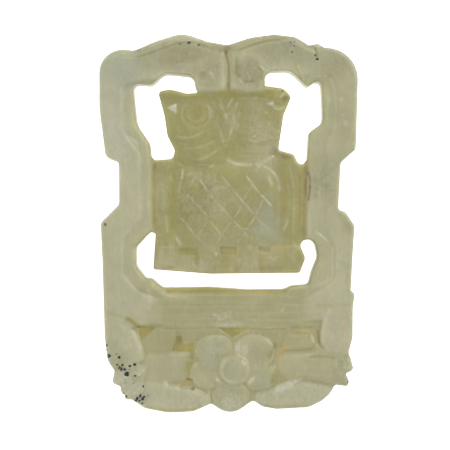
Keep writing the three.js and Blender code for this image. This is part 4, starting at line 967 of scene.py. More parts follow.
    frost: tuple[Patch, ...] = (
        Patch(-5.0, 14.0, 4.0, 4.5, 0.35), Patch(0, -28, 2.4, 2.0, 0.8), Patch(11.0, 4, 1.8, 5.5, 0.4),
        Patch(-4.4, 3.8, 4.2, 5.5, 1.0), Patch(4.6, 14.6, 4.2, 5.5, 0.8), Patch(-0.2, 18.0, 3.4, 2.4, 0.6),
        Patch(-7.0, 26.2, 7.0, 3.0, 0.5), Patch(7.0, 26.6, 7.0, 3.2, 0.45), Patch(3.2, 24, 2.6, 3.0, 0.6),
        Patch(-3.2, 24, 2.6, 3.0, 0.5), Patch(2.5, 1.5, 4.5, 5.0, 0.6), Patch(-2.6, -20.4, 3.0, 2.6, 0.6),
        Patch(4.2, -20.6, 2.6, 2.4, 0.3), Patch(0, -28, 2.6, 2.2, 0.8), Patch(-16.6, -25, 3.2, 3.6, 0.9),
        Patch(-9, -27.6, 6.0, 2.2, 0.4), Patch(10.5, -26.2, 5.5, 2.4, 0.5), Patch(18.2, -22.4, 1.6, 2.8, 0.9),
        Patch(-9.5, -18.3, 3.0, 2.0, 0.4), Patch(16.8, -16.5, 2.4, 3.6, 0.35), Patch(-17.2, -17, 2.6, 3.0, 0.35),
        Patch(0, -14.8, 3.4, 1.4, 0.6), Patch(-10.4, 3, 1.8, 5.5, 0.4), Patch(0, -6.2, 9.0, 1.6, 0.5),
        Patch(15.2, 6, 2.4, 4.0, 0.7), Patch(-15.5, 26.0, 3.5, 2.0, 0.4), Patch(16.5, 26, 3.0, 2.2, 0.3),
        Patch(11.5, -18.2, 2.4, 1.4, 0.5), Patch(5, -17.0, 3.5, 1.0, 0.4),
    )
    shade: tuple[Patch, ...] = (
        # Painted shade: the first patch, at (4.5, 7.8), and the one at (6.5, 8.0) darken the breast's upper right,
        # whose slope faces the key light; the other patches darken the tone where listed.
        Patch(4.5, 7.8, 1.8, 1.3, 0.5, 0, 0.9), Patch(3.6, -6.8, 0.8, 1.0, 0.35), Patch(-0.4, 15.4, 0.6, 1.4, 0.3),
        Patch(-7.2, 27.4, 6.0, 2.4, 0.65, 8), Patch(7.0, 27.6, 7.0, 2.4, 0.6, -6), Patch(17.6, 25.6, 3.6, 4.0, 0.55, 0),
        Patch(-12.5, 26.5, 3.4, 1.8, 0.4), Patch(3.4, 24.2, 2.6, 2.8, 0.6), Patch(-3, 24.4, 2.8, 3.0, 0.5),
        Patch(18.6, 16.5, 2.4, 7.5, 0.4), Patch(15.8, 6.5, 2.2, 5.5, 0.35), Patch(19.0, 0.5, 1.6, 2.5, 0.5), Patch(0, 28.4, 3.0, 1.6, 0.4),
        Patch(4.0, 18.5, 2.4, 2.0, 0.3), Patch(13.4, 27.6, 2.2, 1.8, 0.5), Patch(6.5, 8.0, 1.6, 1.4, 0.35), Patch(-8.5, 19.5, 1.6, 1.6, 0.3),
        Patch(0.2, 24.6, 0.9, 3.4, 0.3), Patch(-18.6, -21.2, 1.8, 2.4, 0.4), Patch(19.4, -7, 0.9, 3.5, 0.35), Patch(-2.2, -19.6, 1.4, 1.6, 0.2),
        Patch(5.2, -21, 1.6, 1.4, 0.25),
    )
    grime: tuple[Patch, ...] = (
        Patch(13.7, 7.1, 0.35, 0.5, 0.3, 0, 0.9), Patch(13.7, 4.5, 0.4, 0.45, 0.36, 0, 0.9), Patch(13.9, 5.7, 0.3, 0.6, 0.24, 0, 0.9),
        Patch(15.5, 6.1, 0.4, 0.3, 0.2, 0, 0.9), Patch(16.0, 5.2, 1.0, 0.22, 0.24, 0, 0.9), Patch(17.6, 6.8, 0.25, 1.6, 0.35, 0, 0.9),
        Patch(-14.0, -27.7, 0.8, 0.7, 0.5, 0, 0.8), Patch(-16.9, -22.8, 0.9, 0.5, 0.3, -20, 0.9), Patch(-12.7, -27.2, 0.3, 0.4, 0.25),
        Patch(10.1, 28.5, 0.7, 0.6, 0.2, 0, 0.9), Patch(-7.0, 28.6, 1.4, 0.3, 0.25, 0, 0.9), Patch(13.9, 26.3, 0.3, 0.6, 0.3, 0, 0.9),
        Patch(-15.2, -25.4, 0.5, 0.3, 0.15, 0, 0.9),
    )
    specks: tuple[tuple[float, float, float, float], ...] = (
        (-19.35, -19.2, 0.3, 0.8), (-19.4, -20, 0.24, 0.85), (-18.95, -20.9, 0.4, 0.85), (-17.75, -20.6, 0.18, 0.6),
        (-17.3, -21.1, 0.26, 0.95), (-17.65, -22.3, 0.24, 0.95), (-17.3, -22.75, 0.26, 1.0), (-16.95, -23.0, 0.3, 1.0),
        (-16.45, -23.0, 0.26, 0.95), (-16.8, -22.35, 0.22, 0.85), (-15.65, -22.5, 0.27, 0.95), (-14.85, -22.25, 0.29, 1.0),
        (-16.1, -23.75, 0.44, 1.0), (-14.8, -24.05, 0.24, 0.75), (-15.05, -25.2, 0.18, 0.6), (-13.5, -25.7, 0.24, 0.8),
        (-12.8, -27.1, 0.2, 0.55), (-16.6, -26.75, 0.18, 0.7), (-16.2, -27.35, 0.24, 0.8), (-14.0, -27.2, 0.24, 1.0),
        (-14.45, -27.6, 0.24, 1.0), (-13.6, -27.75, 0.28, 1.0), (-14.7, -28.0, 0.28, 0.95), (-14.1, -28.05, 0.22, 1.0),
        (-13.65, -28.4, 0.22, 1.0), (-13.35, -27.35, 0.2, 0.9), (-18.2, -22.1, 0.18, 0.4), (-15.7, -23.05, 0.16, 0.6),
        (-17.9, -21.4, 0.14, 0.5), (-7.7, 28.5, 0.28, 0.44), (-6.3, 28.75, 0.42, 0.56), (-4.7, 28.3, 0.32, 0.5),
        (9.8, 28.75, 0.22, 0.6), (10.45, 28.8, 0.22, 0.58), (9.75, 28.25, 0.2, 0.55), (10.35, 28.2, 0.2, 0.55),
        (10.05, 27.2, 0.26, 0.6), (8.55, 28.2, 0.2, 0.4), (14.05, 26.1, 0.3, 0.75), (13.7, 26.7, 0.22, 0.65), (12.6, 26.6, 0.14, 0.3),
        (8.7, 25.6, 0.24, 0.25), (10.8, 27.1, 0.16, 0.25), 
        (13.6, 5.3, 0.2, 0.4), 
        (-19.5, -0.1, 0.4, 0.5), (-12.9, 11.9, 0.24, 0.25), (4.5, 10.25, 0.2, 0.4), (18.95, -25.1, 0.26, 0.7), (8.5, 21.1, 0.3, 0.5),
        (-4.95, -4.9, 0.2, 0.3), (11.9, -5.5, 0.3, 0.35), (-13, 27.9, 0.3, 0.4), (4.85, -3.9, 0.3, 0.35), (-1.0, 25.5, 0.3, 0.16),
    )
    speck_core: float = 0.84
    crevice: tuple[tuple[tuple[Point, ...], float], ...] = (
        (((12.55, 8.3), (12.85, 7.5), (12.9, 6.4), (12.85, 5.2), (12.65, 3.8)), 1.1),
        (((12.5, 8.2), (12.35, 7.2), (12.25, 5.8), (12.3, 4.6), (12.6, 3.75)), 0.55),
    )

    def lay(self, relief: Relief) -> None:
        """Lay every cloud, stain, speck and darker patch, painted shade among them, and pit the surface where the
        specks weathered out.
        """
        for trace, spots in (
            (Trace.RUST, self.rust), (Trace.AMBER, self.amber), (Trace.MILK, self.milk),
            (Trace.SMOKE, self.smoke), (Trace.SHADE, self.shade), (Trace.FROST, self.frost),
            (Trace.GRIME_AND_RIM_SHADE, self.grime),
        ):
            for spot in spots:
                relief.patch(trace, spot)
        for through, strength in self.crevice:
            line = Stroke(through).curve()
            part = relief.window(line, 0.8)
            x, y = relief.x[part], relief.y[part]
            away = np.min([segment_distance(x, y, a, b)[0] for a, b in zip(line, line[1:])], axis=0)
            uneven = 1 + 0.5 * value_noise(x, y, 0.9, 35)
            relief.mark(Trace.RUST, strength * uneven * np.exp(-((away / 0.15) ** 2)), part)
            relief.height[part] -= 0.06 * np.exp(-((away / 0.2) ** 2))
        for x, y, radius, strength in self.specks:
            core = self.speck_core * radius
            relief.patch(Trace.SPECK, Patch(x, y, core, core, strength, fuzz=0.4, ragged=0.35))
        relief.height -= 0.06 * relief.traces[Trace.SPECK]


# ---------------------------------------------------------------- the stone


@dataclass
class Stone:
    """Turns the relief into one closed mesh with worn edges, sawn walls and a plain back."""

    frame: Frame
    owl: Owl
    bar: Bar
    flower: Flower
    foliage: Foliage
    inclusions: Inclusions
    pitch: float = 0.158
    wall_rows: tuple[float, ...] = (0.07, 0.36, 0.7)
    deep: tuple[Trace, ...] = (Trace.PALE, Trace.OLIVE, Trace.SHADE, Trace.SMOKE)
    back_radius: float = 0.4
    lumps: float = 0.035

    def middle(self) -> np.ndarray:
        """Middle of the rim's outline, which the frame puts at the origin."""
        rim = rounded_outline(self.frame.rim, 0.045)
        return (rim.min(axis=0) + rim.max(axis=0)) / 2

    def depths(self, x: np.ndarray, y: np.ndarray) -> tuple[np.ndarray, np.ndarray]:
        """Depth inside the stone, and inside the frame's window, at each place."""
        rim = inside_depth(x, y, rounded_outline(self.frame.rim))
        window = inside_depth(x, y, rounded_outline(self.frame.window))
        owl = inside_depth(x, y, rounded_outline(self.owl.outline))
        return np.minimum(rim, np.maximum(-window, owl)), window

    def carve(self) -> tuple[Relief, np.ndarray]:
        """Cut the whole design.

        Returns:
            The relief and the depth inside the stone.
        """
        half = np.array((21.0, 30.6))
        counts = np.ceil(2 * half / self.pitch).astype(int) + 1
        x, y = np.meshgrid(np.linspace(-half[0], half[0], counts[0]), np.linspace(-half[1], half[1], counts[1]))
        depth, window = self.depths(x, y)
        relief = Relief(x, y)
        self.frame.carve(relief)
        self.bar.carve(relief)
        self.foliage.carve(relief)
        self.flower.carve(relief)
        self.foliage.finish(relief)
        self.frame.finish(relief)
        self.owl.carve(relief, window)
        self.inclusions.lay(relief)
        relief.height += self.lumps * value_noise(x, y, 3.1, 1) + 0.4 * self.lumps * value_noise(x, y, 1.1, 2)
        relief.height += 0.2 * self.lumps * value_noise(x, y, 0.45, 3)
        pierced = smooth(0.5 + (inside_depth(x, y, rounded_outline(self.frame.rim)) - depth) / 0.6)
        # Painted light: a pale band along the edges of the openings lifts the shade on their rounded edges.
        relief.mark(Trace.WEAR_AND_HIGHLIGHT, 0.12 * pierced * np.exp(-(((depth - 0.1) / 0.35) ** 2)))
        # Painted shade: the grime colour darkens the outer rim, more towards the right and at the top right, against
        # the light that the glowing floor throws on the rounded edge.
        side = 0.55 + 0.4 * smooth(0.5 + x / 24) + 0.2 * smooth((y - 24) / 3) * smooth(0.5 + x / 10)
        relief.mark(Trace.GRIME_AND_RIM_SHADE, side * (1 - pierced) * np.exp(-((depth.clip(0) / 0.42) ** 2)))
        radius = self.frame.edge_radius * (1 - 0.4 * pierced) * (1 + 0.2 * value_noise(x, y, 2.3, 4))
        worn = 1 - np.sqrt(np.clip(1 - (1 - np.clip(depth / radius, 0, 1)) ** 2, 0, 1))
        relief.height -= worn * radius
        return relief, depth

    def mesh(self, relief: Relief, depth: np.ndarray) -> bpy.types.Object:
        """Build the closed mesh.

        Args:
            relief: The carved relief.
            depth: Depth inside the stone on the same grid.

        Returns:
            The new object, linked to the scene.
        """
        flat, faces, source = self.march(relief, depth)
        height, traces = self.sample(relief, flat, source)
        count = len(flat)
        edges: dict[tuple[int, int], bool] = {}
        for face in faces:
            for a, b in zip(face, face[1:] + face[:1]):
                if (b, a) in edges:
                    del edges[(b, a)]
                else:
                    edges[(a, b)] = True
        rim = sorted({v for edge in edges for v in edge})
        place = {v: i for i, v in enumerate(rim)}
        rim_xy, inward = flat[rim], self.inward(flat[rim])
        rows, row_ids = [], [np.array(rim)]
        wobble = 0.03 * value_noise(rim_xy[:, 0] * 1.3, rim_xy[:, 1] * 1.3, 1.2, 8)
        for share in self.wall_rows:
            z = height[rim] * (1 - share) + self.back_radius * share
            rows.append(np.column_stack((rim_xy + inward * (0.02 + wobble * 0.5)[:, None], z)))
        for inset, z in ((0.0, 1.0), (0.12, 0.3), (1.0, 0.0)):
            shift = inward * self.back_radius * inset
            rows.append(np.column_stack((rim_xy + shift, np.full(len(rim), self.back_radius * z))))
        points = [np.column_stack((flat, height))]
        for row in rows:
            row_ids.append(np.arange(len(rim)) + sum(len(p) for p in points))
            points.append(row)
        walls = []
        for upper, lower in zip(row_ids, row_ids[1:]):
            for a, b in edges:
                i, j = place[a], place[b]
                walls.append((int(upper[j]), int(upper[i]), int(lower[i]), int(lower[j])))
        back = self.close_back(edges, place, row_ids[-1], np.concatenate(points))
        all_points = np.concatenate(points)
        all_points[:, :2] -= self.middle()
        mesh = bpy.data.meshes.new("jade_stone")
        mesh.from_pydata((all_points * MM).tolist(), [], faces + walls + back)
        mesh.validate()
        outer = inside_depth(rim_xy[:, 0], rim_xy[:, 1], rounded_outline(self.frame.rim, 0.05))
        pierced = smooth((outer - 0.3) / 0.6)
        for trace in Trace:
            values = np.zeros(len(all_points), dtype=np.float32)
            values[:count] = traces[trace]
            for row, ids in enumerate(row_ids[1:]):
                left = 0.6 if trace in self.deep else 0.3 * (row == 0)
                values[ids] = traces[trace][rim] * left
                if trace is Trace.MILK:
                    values[ids] = np.maximum(values[ids], 0.55 * pierced)
            attribute = mesh.attributes.new(trace.value, "FLOAT", "POINT")
            attribute.data.foreach_set("value", values)
        mesh.shade_smooth()
        mesh.update()
        plaque = bpy.data.objects.new("jade_stone", mesh)
        bpy.context.scene.collection.objects.link(plaque)
        return plaque

    def inward(self, places: np.ndarray) -> np.ndarray:
        """Unit directions into the stone at places on its outline."""
        step = 0.05
        x, y = places[:, 0], places[:, 1]
        dx = self.depths(x + step, y)[0] - self.depths(x - step, y)[0]
        dy = self.depths(x, y + step)[0] - self.depths(x, y - step)[0]
        length = np.maximum(np.hypot(dx, dy), 1e-9)
        return np.column_stack((dx / length, dy / length))

    def march(self, relief: Relief, depth: np.ndarray) -> tuple[np.ndarray, list[tuple[int, ...]], np.ndarray]:
        """Mesh the flat outline on the grid, with its border exactly on the outline.

        Args:
            relief: The relief that gives the grid.
            depth: Depth inside the stone on the grid.

        Returns:
            Places of the vertices, faces, and each vertex's grid index or -1 on the border.
        """
        rows, columns = depth.shape
        x, y = relief.x.copy(), relief.y.copy()
        near = np.abs(depth) < 0.3 * self.pitch
        gy, gx = np.gradient(depth, y[:, 0], x[0])
        norm = np.maximum(gx**2 + gy**2, 0.25)
        x = np.where(near, x - depth * gx / norm, x)
        y = np.where(near, y - depth * gy / norm, y)
        value = np.where(near, 0.0, depth)
        solid = value >= 0
        index = np.full(depth.shape, -1)
        index[solid] = np.arange(int(solid.sum()))
        places = [np.column_stack((x[solid], y[solid]))]
        grid_ids = list(np.flatnonzero(solid.ravel()))
        cell = solid[:-1, :-1].astype(int) + solid[:-1, 1:] + solid[1:, 1:] + solid[1:, :-1]
        full = cell == 4
        a, b = index[:-1, :-1][full], index[:-1, 1:][full]
        c, d = index[1:, 1:][full], index[1:, :-1][full]
        faces = [tuple(map(int, quad)) for quad in zip(a, b, c, d)]
        extra: list[tuple[float, float]] = []
        crossing: dict[tuple[int, int], int] = {}
        base = len(grid_ids)

        def cross(p: tuple[int, int], q: tuple[int, int]) -> int:
            """Vertex where the border crosses a grid edge."""
            if value[p] == 0:
                return int(index[p])
            key = (p[0] * columns + p[1], q[0] * columns + q[1])
            if key not in crossing:
                t = value[p] / (value[p] - value[q])
                extra.append((x[p] + t * (x[q] - x[p]), y[p] + t * (y[q] - y[p])))
                crossing[key] = base + len(extra) - 1
            return crossing[key]

        for r, k in np.argwhere((cell > 0) & (cell < 4)):
            ring = ((r, k), (r, k + 1), (r + 1, k + 1), (r + 1, k))
            loop: list[int] = []
            for p, q in zip(ring, ring[1:] + ring[:1]):
                if solid[p]:
                    loop.append(int(index[p]))
                    if not solid[q]:
                        loop.append(cross(p, q))
                elif solid[q]:
                    loop.append(cross(q, p))
            tidy = [v for i, v in enumerate(loop) if v != loop[i - 1]]
            if len(set(tidy)) >= 3 and len(set(tidy)) == len(tidy):
                faces.append(tuple(tidy))
        places.append(np.array(extra).reshape(-1, 2))
        source = np.concatenate((np.array(grid_ids), np.full(len(extra), -1)))
        return np.concatenate(places), faces, source

    def sample(self, relief: Relief, flat: np.ndarray, source: np.ndarray) -> tuple[np.ndarray, dict[Trace, np.ndarray]]:
        """Heights and traces at the vertices."""
        xs, ys = relief.x[0], relief.y[:, 0]
        u = np.clip((flat[:, 0] - xs[0]) / (xs[1] - xs[0]), 0, len(xs) - 1.001)
        v = np.clip((flat[:, 1] - ys[0]) / (ys[1] - ys[0]), 0, len(ys) - 1.001)
        i, j = u.astype(int), v.astype(int)
        s, t = u - i, v - j

        def read(values: np.ndarray) -> np.ndarray:
            """One field read between grid points."""
            low = values[j, i] * (1 - s) + values[j, i + 1] * s
            high = values[j + 1, i] * (1 - s) + values[j + 1, i + 1] * s
            return low * (1 - t) + high * t

        return read(relief.height), {trace: read(values) for trace, values in relief.traces.items()}

    def close_back(
        self, edges: dict[tuple[int, int], bool], place: dict[int, int], ids: np.ndarray, points: np.ndarray
    ) -> list[tuple[int, ...]]:
        """Flat faces of the back inside its rounded edge."""
        from mathutils import Vector
        from mathutils.geometry import delaunay_2d_cdt

        ring = [Vector(points[v, :2].tolist()) for v in ids]
        border = [(place[a], place[b]) for a, b in edges]
        result = delaunay_2d_cdt(ring, border, [], 1, 1e-6)
        corners, triangles, origins = result[0], result[2], result[3]
        faces = []
        lookup = {i: int(ids[o[0]]) for i, o in enumerate(origins) if o}
        middle = np.array([np.mean([corners[v][:] for v in face], axis=0) for face in triangles])
        inside = self.depths(middle[:, 0], middle[:, 1])[0] > 0.2 * self.back_radius
        for face, keep in zip(triangles, inside):
            if keep and all(v in lookup for v in face):
                faces.append(tuple(lookup[v] for v in reversed(face)))
        return faces


# ---------------------------------------------------------------- finishes


def linear(code: str) -> tuple[float, float, float, float]:
    """An sRGB hex colour as linear values with full alpha."""
    parts = [int(code[i:i + 2], 16) / 255 for i in (1, 3, 5)]
    scaled = [p / 12.92 if p <= 0.04045 else ((p + 0.055) / 1.055) ** 2.4 for p in parts]
    return (scaled[0], scaled[1], scaled[2], 1.0)


def add_node(
    tree: bpy.types.NodeTree,
    kind: str,
    settings: dict[str, object] | None = None,
    values: dict[str | int, object] | None = None,
    links: dict[str | int, bpy.types.NodeSocket] | None = None,
) -> bpy.types.Node:
    """Add a node with its settings, socket values and incoming links.

    Args:
        tree: The node tree.
        kind: The node's type name.
        settings: Properties of the node itself.
        values: Values of input sockets.
        links: Sockets that feed its inputs.

    Returns:
        The new node.
    """
    node = tree.nodes.new(kind)
    for name, value in (settings or {}).items():
        setattr(node, name, value)
    for name, value in (values or {}).items():
        node.inputs[name].default_value = value
    for name, socket in (links or {}).items():
        tree.links.new(socket, node.inputs[name])
    return node


@dataclass(frozen=True)
class PolishedNephrite:
    """Pale green nephrite jade, sawn, ground with abrasive and polished.

    Nephrite is a felt of fine fibres, so it looks soft and cloudy with a waxy shine, and light
    goes a millimetre or two into it. Sunk places and creases are painted deeper and more olive,
    partly the stone's own tint and partly painted shade; pale lines along edges and cuts are partly
    the whitish look of ground stone and partly painted highlights.
    """

    pale: str = "#B5B293"
    body: str = "#A7A47B"
    olive: str = "#9B9552"
    shade: str = "#8F8C5F"
    # worn: the pale of ground stone, also used for painted highlights along edges and cuts.
    worn: str = "#D2CEB2"
    milk: str = "#D8D4C4"
    smoke: str = "#A4A895"
    rust: str = "#80693A"
    amber: str = "#C9AE68"
    speck: str = "#0C0C0E"
    # grime: real grime, and also painted shade along the outer rim.
    grime: str = "#7E8072"
    ior: float = 1.61
    roughness: float = 0.4
    scatter: float = 1.0
    scatter_depth: tuple[float, float, float] = (1.0, 1.0, 0.8)
    scatter_mm: float = 1.5
    cloud_mm: float = 5.5
    fibre_mm: float = 0.9
    scratch_mm: float = 0.28
    grain_mm: float = 0.5
    crinkle_mm: float = 0.95
    mottles: tuple[tuple[float, float, float, float, float], ...] = (
        (6.0, 2.0, 0.05, 1.0, 0.0), (1.9, 3.0, 0.03, 1.5, 20.0), (0.6, 3.0, 0.03, 3.0, -35.0),
        (0.24, 2.0, 0.035, 4.0, 40.0),
    )

    def dress(self, piece: bpy.types.Object) -> None:
        """Give the stone its material."""
        material = bpy.data.materials.new("polished_nephrite")
        material.use_nodes = True
        tree = material.node_tree
        tree.nodes.clear()
        where = add_node(tree, "ShaderNodeTexCoord").outputs["Object"]
        cloud = self.noise(tree, where, self.cloud_mm, 3.0)
        fibre = self.noise(tree, where, self.fibre_mm, 5.0)
        colour = self.mottle(tree, where, self.bloom(tree, where, self.colours(tree, cloud, fibre)))
        rough = add_node(
            tree, "ShaderNodeMapRange",
            values={"From Min": 0.3, "From Max": 0.7, "To Min": self.roughness - 0.05, "To Max": self.roughness + 0.1},
            links={"Value": fibre},
        ).outputs["Result"]
        shader = add_node(
            tree, "ShaderNodeBsdfPrincipled",
            values={
                "IOR": self.ior, "Subsurface Weight": self.scatter,
                "Subsurface Radius": self.scatter_depth, "Subsurface Scale": self.scatter_mm * MM,
            },
            links={"Base Color": colour, "Roughness": rough, "Normal": self.surface(tree, where)},
        )
        add_node(tree, "ShaderNodeOutputMaterial", links={"Surface": shader.outputs["BSDF"]})
        piece.data.materials.append(material)

    def noise(self, tree: bpy.types.NodeTree, where: bpy.types.NodeSocket, size_mm: float, detail: float) -> bpy.types.NodeSocket:
        """Cloudy noise with lumps of a size in millimetres."""
        node = add_node(
            tree, "ShaderNodeTexNoise",
            values={"Scale": 1 / (size_mm * MM), "Detail": detail, "Roughness": 0.55},
            links={"Vector": where},
        )
        return node.outputs["Fac"]

    def colours(
        self, tree: bpy.types.NodeTree, cloud: bpy.types.NodeSocket, fibre: bpy.types.NodeSocket
    ) -> bpy.types.NodeSocket:
        """Colour of the stone from its zones, clouds, stains and specks.

        Args:
            tree: The material's nodes.
            cloud: Broad noise.
            fibre: Fine noise.

        Returns:
            The colour socket.
        """
        drift = add_node(
            tree, "ShaderNodeMapRange",
            values={"From Min": 0.35, "From Max": 0.65, "To Min": 0.0, "To Max": 0.25},
            links={"Value": cloud},
        ).outputs["Result"]
        colour = self.blend(tree, drift, linear(self.body), linear(self.pale))
        for trace, shade, gain, grain in (
            (Trace.PALE, self.pale, 1.0, 0.2), (Trace.OLIVE, self.olive, 1.0, 0.15),
            (Trace.SHADE, self.shade, 0.8, 0.2), (Trace.SMOKE, self.smoke, 1.0, 0.3),
            (Trace.AMBER, self.amber, 0.9, 0.3), (Trace.WEAR_AND_HIGHLIGHT, self.worn, 1.0, 0.4),
            (Trace.MILK, self.milk, 1.0, 0.3), (Trace.RUST, self.rust, 0.8, 0.4),
            (Trace.GRIME_AND_RIM_SHADE, self.grime, 1.0, 0.3), (Trace.SPECK, self.speck, 1.0, 0.2),
        ):
            amount = add_node(tree, "ShaderNodeAttribute", {"attribute_name": trace.value}).outputs["Fac"]
            if trace is Trace.SPECK:
                amount = add_node(
                    tree, "ShaderNodeMapRange", {"interpolation_type": "SMOOTHSTEP"},
                    values={"From Min": 0.3, "From Max": 0.62}, links={"Value": amount},
                ).outputs["Result"]
            mottled = add_node(
                tree, "ShaderNodeMapRange",
                values={"From Min": 0.35, "From Max": 0.65, "To Min": gain * (1 - grain), "To Max": gain * (1 + grain)},
                links={"Value": fibre},
            ).outputs["Result"]
            share = add_node(
                tree, "ShaderNodeMath", {"operation": "MULTIPLY", "use_clamp": True}, links={0: amount, 1: mottled}
            ).outputs[0]
            colour = self.blend(tree, share, colour, linear(shade))
        return colour

    def bloom(
        self, tree: bpy.types.NodeTree, where: bpy.types.NodeSocket, colour: bpy.types.NodeSocket
    ) -> bpy.types.NodeSocket:
        """Crinkled whitish bloom, where the fibres of the stone have been rubbed open."""
        ridges = add_node(
            tree, "ShaderNodeTexNoise", {"noise_type": "RIDGED_MULTIFRACTAL", "normalize": True},
            values={"Scale": 1 / (self.crinkle_mm * MM), "Detail": 3.0, "Roughness": 0.6, "Distortion": 0.4},
            links={"Vector": where},
        ).outputs["Fac"]
        lines = add_node(
            tree, "ShaderNodeMapRange", {"interpolation_type": "SMOOTHSTEP"},
            values={"From Min": 0.25, "From Max": 0.7, "To Min": -0.14, "To Max": 0.56}, links={"Value": ridges},
        ).outputs["Result"]
        grain = add_node(
            tree, "ShaderNodeMapRange", {"clamp": False},
            values={"From Min": 0.3, "From Max": 0.7, "To Min": -0.2, "To Max": 0.2},
            links={"Value": self.noise(tree, where, self.grain_mm, 2.0)},
        ).outputs["Result"]
        both = add_node(tree, "ShaderNodeMath", {"operation": "ADD"}, links={0: lines, 1: grain}).outputs[0]
        frost = add_node(tree, "ShaderNodeAttribute", {"attribute_name": Trace.FROST.value}).outputs["Fac"]
        share = add_node(tree, "ShaderNodeMath", {"operation": "MULTIPLY"}, links={0: frost, 1: both}).outputs[0]
        factor = add_node(
            tree, "ShaderNodeMath", {"operation": "MULTIPLY_ADD"}, values={1: 0.6, 2: 1.0}, links={0: share}
        ).outputs[0]
        return add_node(
            tree, "ShaderNodeVectorMath", {"operation": "SCALE"}, links={"Vector": colour, "Scale": factor}
        ).outputs["Vector"]

    def mottle(
        self, tree: bpy.types.NodeTree, where: bpy.types.NodeSocket, colour: bpy.types.NodeSocket
    ) -> bpy.types.NodeSocket:
        """The colour made lighter and darker by clouds, felted fibres and grinding grain."""
        for size_mm, detail, swing, stretch, turn in self.mottles:
            aligned = add_node(
                tree, "ShaderNodeMapping",
                values={"Rotation": (0.0, 0.0, math.radians(turn)), "Scale": (1.0, 1.0 / stretch, 1.0)},
                links={"Vector": where},
            ).outputs["Vector"]
            pattern = self.noise(tree, aligned, size_mm, detail)
            factor = add_node(
                tree, "ShaderNodeMapRange", {"clamp": False},
                values={"From Min": 0.3, "From Max": 0.7, "To Min": 1 - swing, "To Max": 1 + swing},
                links={"Value": pattern},
            ).outputs["Result"]
            colour = add_node(
                tree, "ShaderNodeVectorMath", {"operation": "SCALE"}, links={"Vector": colour, "Scale": factor}
            ).outputs["Vector"]
        return colour

    def blend(
        self,
        tree: bpy.types.NodeTree,
        share: bpy.types.NodeSocket,
        under: bpy.types.NodeSocket | tuple[float, float, float, float],
        over: tuple[float, float, float, float],
    ) -> bpy.types.NodeSocket:
        """One colour laid over another by a share."""
        node = add_node(tree, "ShaderNodeMix", {"data_type": "RGBA"}, values={7: over}, links={0: share})
        if isinstance(under, tuple):
            node.inputs[6].default_value = under
        else:
            tree.links.new(under, node.inputs[6])
        return node.outputs[2]

    def surface(self, tree: bpy.types.NodeTree, where: bpy.types.NodeSocket) -> bpy.types.NodeSocket:
        """Fine pits and polishing marks, drawn a little coarser than real so that they show."""
        pits = self.noise(tree, where, self.scratch_mm, 2.0)
        swell = self.noise(tree, where, self.fibre_mm * 1.6, 2.0)
        first = add_node(
            tree, "ShaderNodeBump", values={"Strength": 0.35, "Distance": 0.02 * MM}, links={"Height": pits}
        ).outputs["Normal"]
        return add_node(
            tree, "ShaderNodeBump", values={"Strength": 0.5, "Distance": 0.06 * MM},
            links={"Height": swell, "Normal": first},
        ).outputs["Normal"]


# ---------------------------------------------------------------- studio


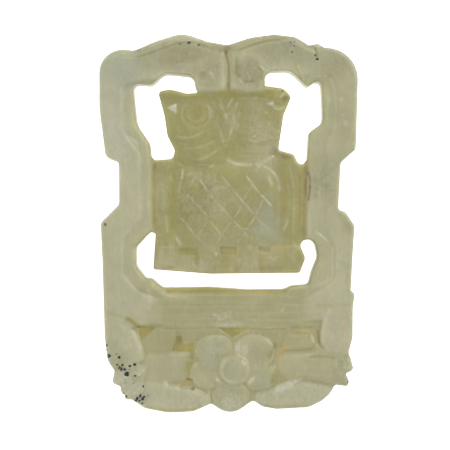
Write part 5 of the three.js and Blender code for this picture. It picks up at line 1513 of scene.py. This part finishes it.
@dataclass
class Studio:
    """White sweep, soft light from the upper right, and a camera straight above."""

    view_mm: float = 71.43
    lens: float = 150.0
    aim: Point = (-0.556, -0.159)
    focus_height: float = 5.0
    sky: float = 0.735
    floor_glow: float = 0.9

    def build(self, middle: np.ndarray) -> None:
        """Set the floor, light and camera round the stone.

        Args:
            middle: Where the design's own origin lies from the middle of the plaque.
        """
        self.floor()
        self.light()
        self.camera(middle)

    def floor(self) -> None:
        """A plain white floor that glows a little, so that it stays white under the stone's edges."""
        side = 3.0
        mesh = bpy.data.meshes.new("floor")
        mesh.from_pydata([(-side, -side, 0), (side, -side, 0), (side, side, 0), (-side, side, 0)], [], [(0, 1, 2, 3)])
        floor = bpy.data.objects.new("floor", mesh)
        bpy.context.scene.collection.objects.link(floor)
        material = bpy.data.materials.new("white_sweep")
        material.use_nodes = True
        shader = material.node_tree.nodes["Principled BSDF"]
        shader.inputs["Base Color"].default_value = (0.9, 0.9, 0.9, 1)
        shader.inputs["Roughness"].default_value = 0.9
        shader.inputs["Specular IOR Level"].default_value = 0.0
        shader.inputs["Emission Color"].default_value = (1, 1, 1, 1)
        shader.inputs["Emission Strength"].default_value = self.floor_glow
        mesh.materials.append(material)

    def light(self) -> None:
        """Even sky and two soft boxes."""
        world = bpy.data.worlds.new("studio")
        bpy.context.scene.world = world
        world.use_nodes = True
        background = world.node_tree.nodes["Background"]
        background.inputs["Color"].default_value = (1, 1, 1, 1)
        background.inputs["Strength"].default_value = self.sky
        for name, place, size, power in (
            ("key", (0.28, 0.26, 0.34), 0.22, 1.04),
            ("fill", (-0.4, -0.1, 0.4), 0.5, 0.3),
        ):
            lamp = bpy.data.lights.new(name, "AREA")
            lamp.shape = "SQUARE"
            lamp.size = size
            lamp.energy = power
            holder = bpy.data.objects.new(name, lamp)
            holder.location = place
            aim = np.array(place)
            pitch = math.atan2(math.hypot(aim[0], aim[1]), aim[2])
            turn = math.atan2(aim[0], -aim[1])
            holder.rotation_euler = (pitch, 0, turn)
            bpy.context.scene.collection.objects.link(holder)

    def camera(self, middle: np.ndarray) -> None:
        """A long lens straight above the stone."""
        data = bpy.data.cameras.new("camera")
        data.sensor_width = 36.0
        data.lens = self.lens
        distance = self.view_mm * self.lens / data.sensor_width
        camera = bpy.data.objects.new("camera", data)
        aim = np.array(self.aim) - middle
        camera.location = (aim[0] * MM, aim[1] * MM, (distance + self.focus_height) * MM)
        bpy.context.scene.collection.objects.link(camera)
        bpy.context.scene.camera = camera


def main() -> None:
    """Build the plaque and the studio round it."""
    logging.basicConfig(level=logging.INFO, format="%(name)s: %(message)s")
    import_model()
    stone = Stone(Frame(), Owl(), Bar(), Flower(), Foliage(), Inclusions())
    relief, depth = stone.carve()
    plaque = stone.mesh(relief, depth)
    PolishedNephrite().dress(plaque)
    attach(plaque, "root")
    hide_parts("jade_plaque")
    triangles = sum(len(p.vertices) - 2 for p in plaque.data.polygons)
    LOG.info("jade_stone: %d vertices, %d triangles", len(plaque.data.vertices), triangles)
    Studio().build(stone.middle())
    bpy.context.scene.view_settings.view_transform = "Standard"
    bpy.context.view_layer.update()


if __name__ == "__main__":
    main()
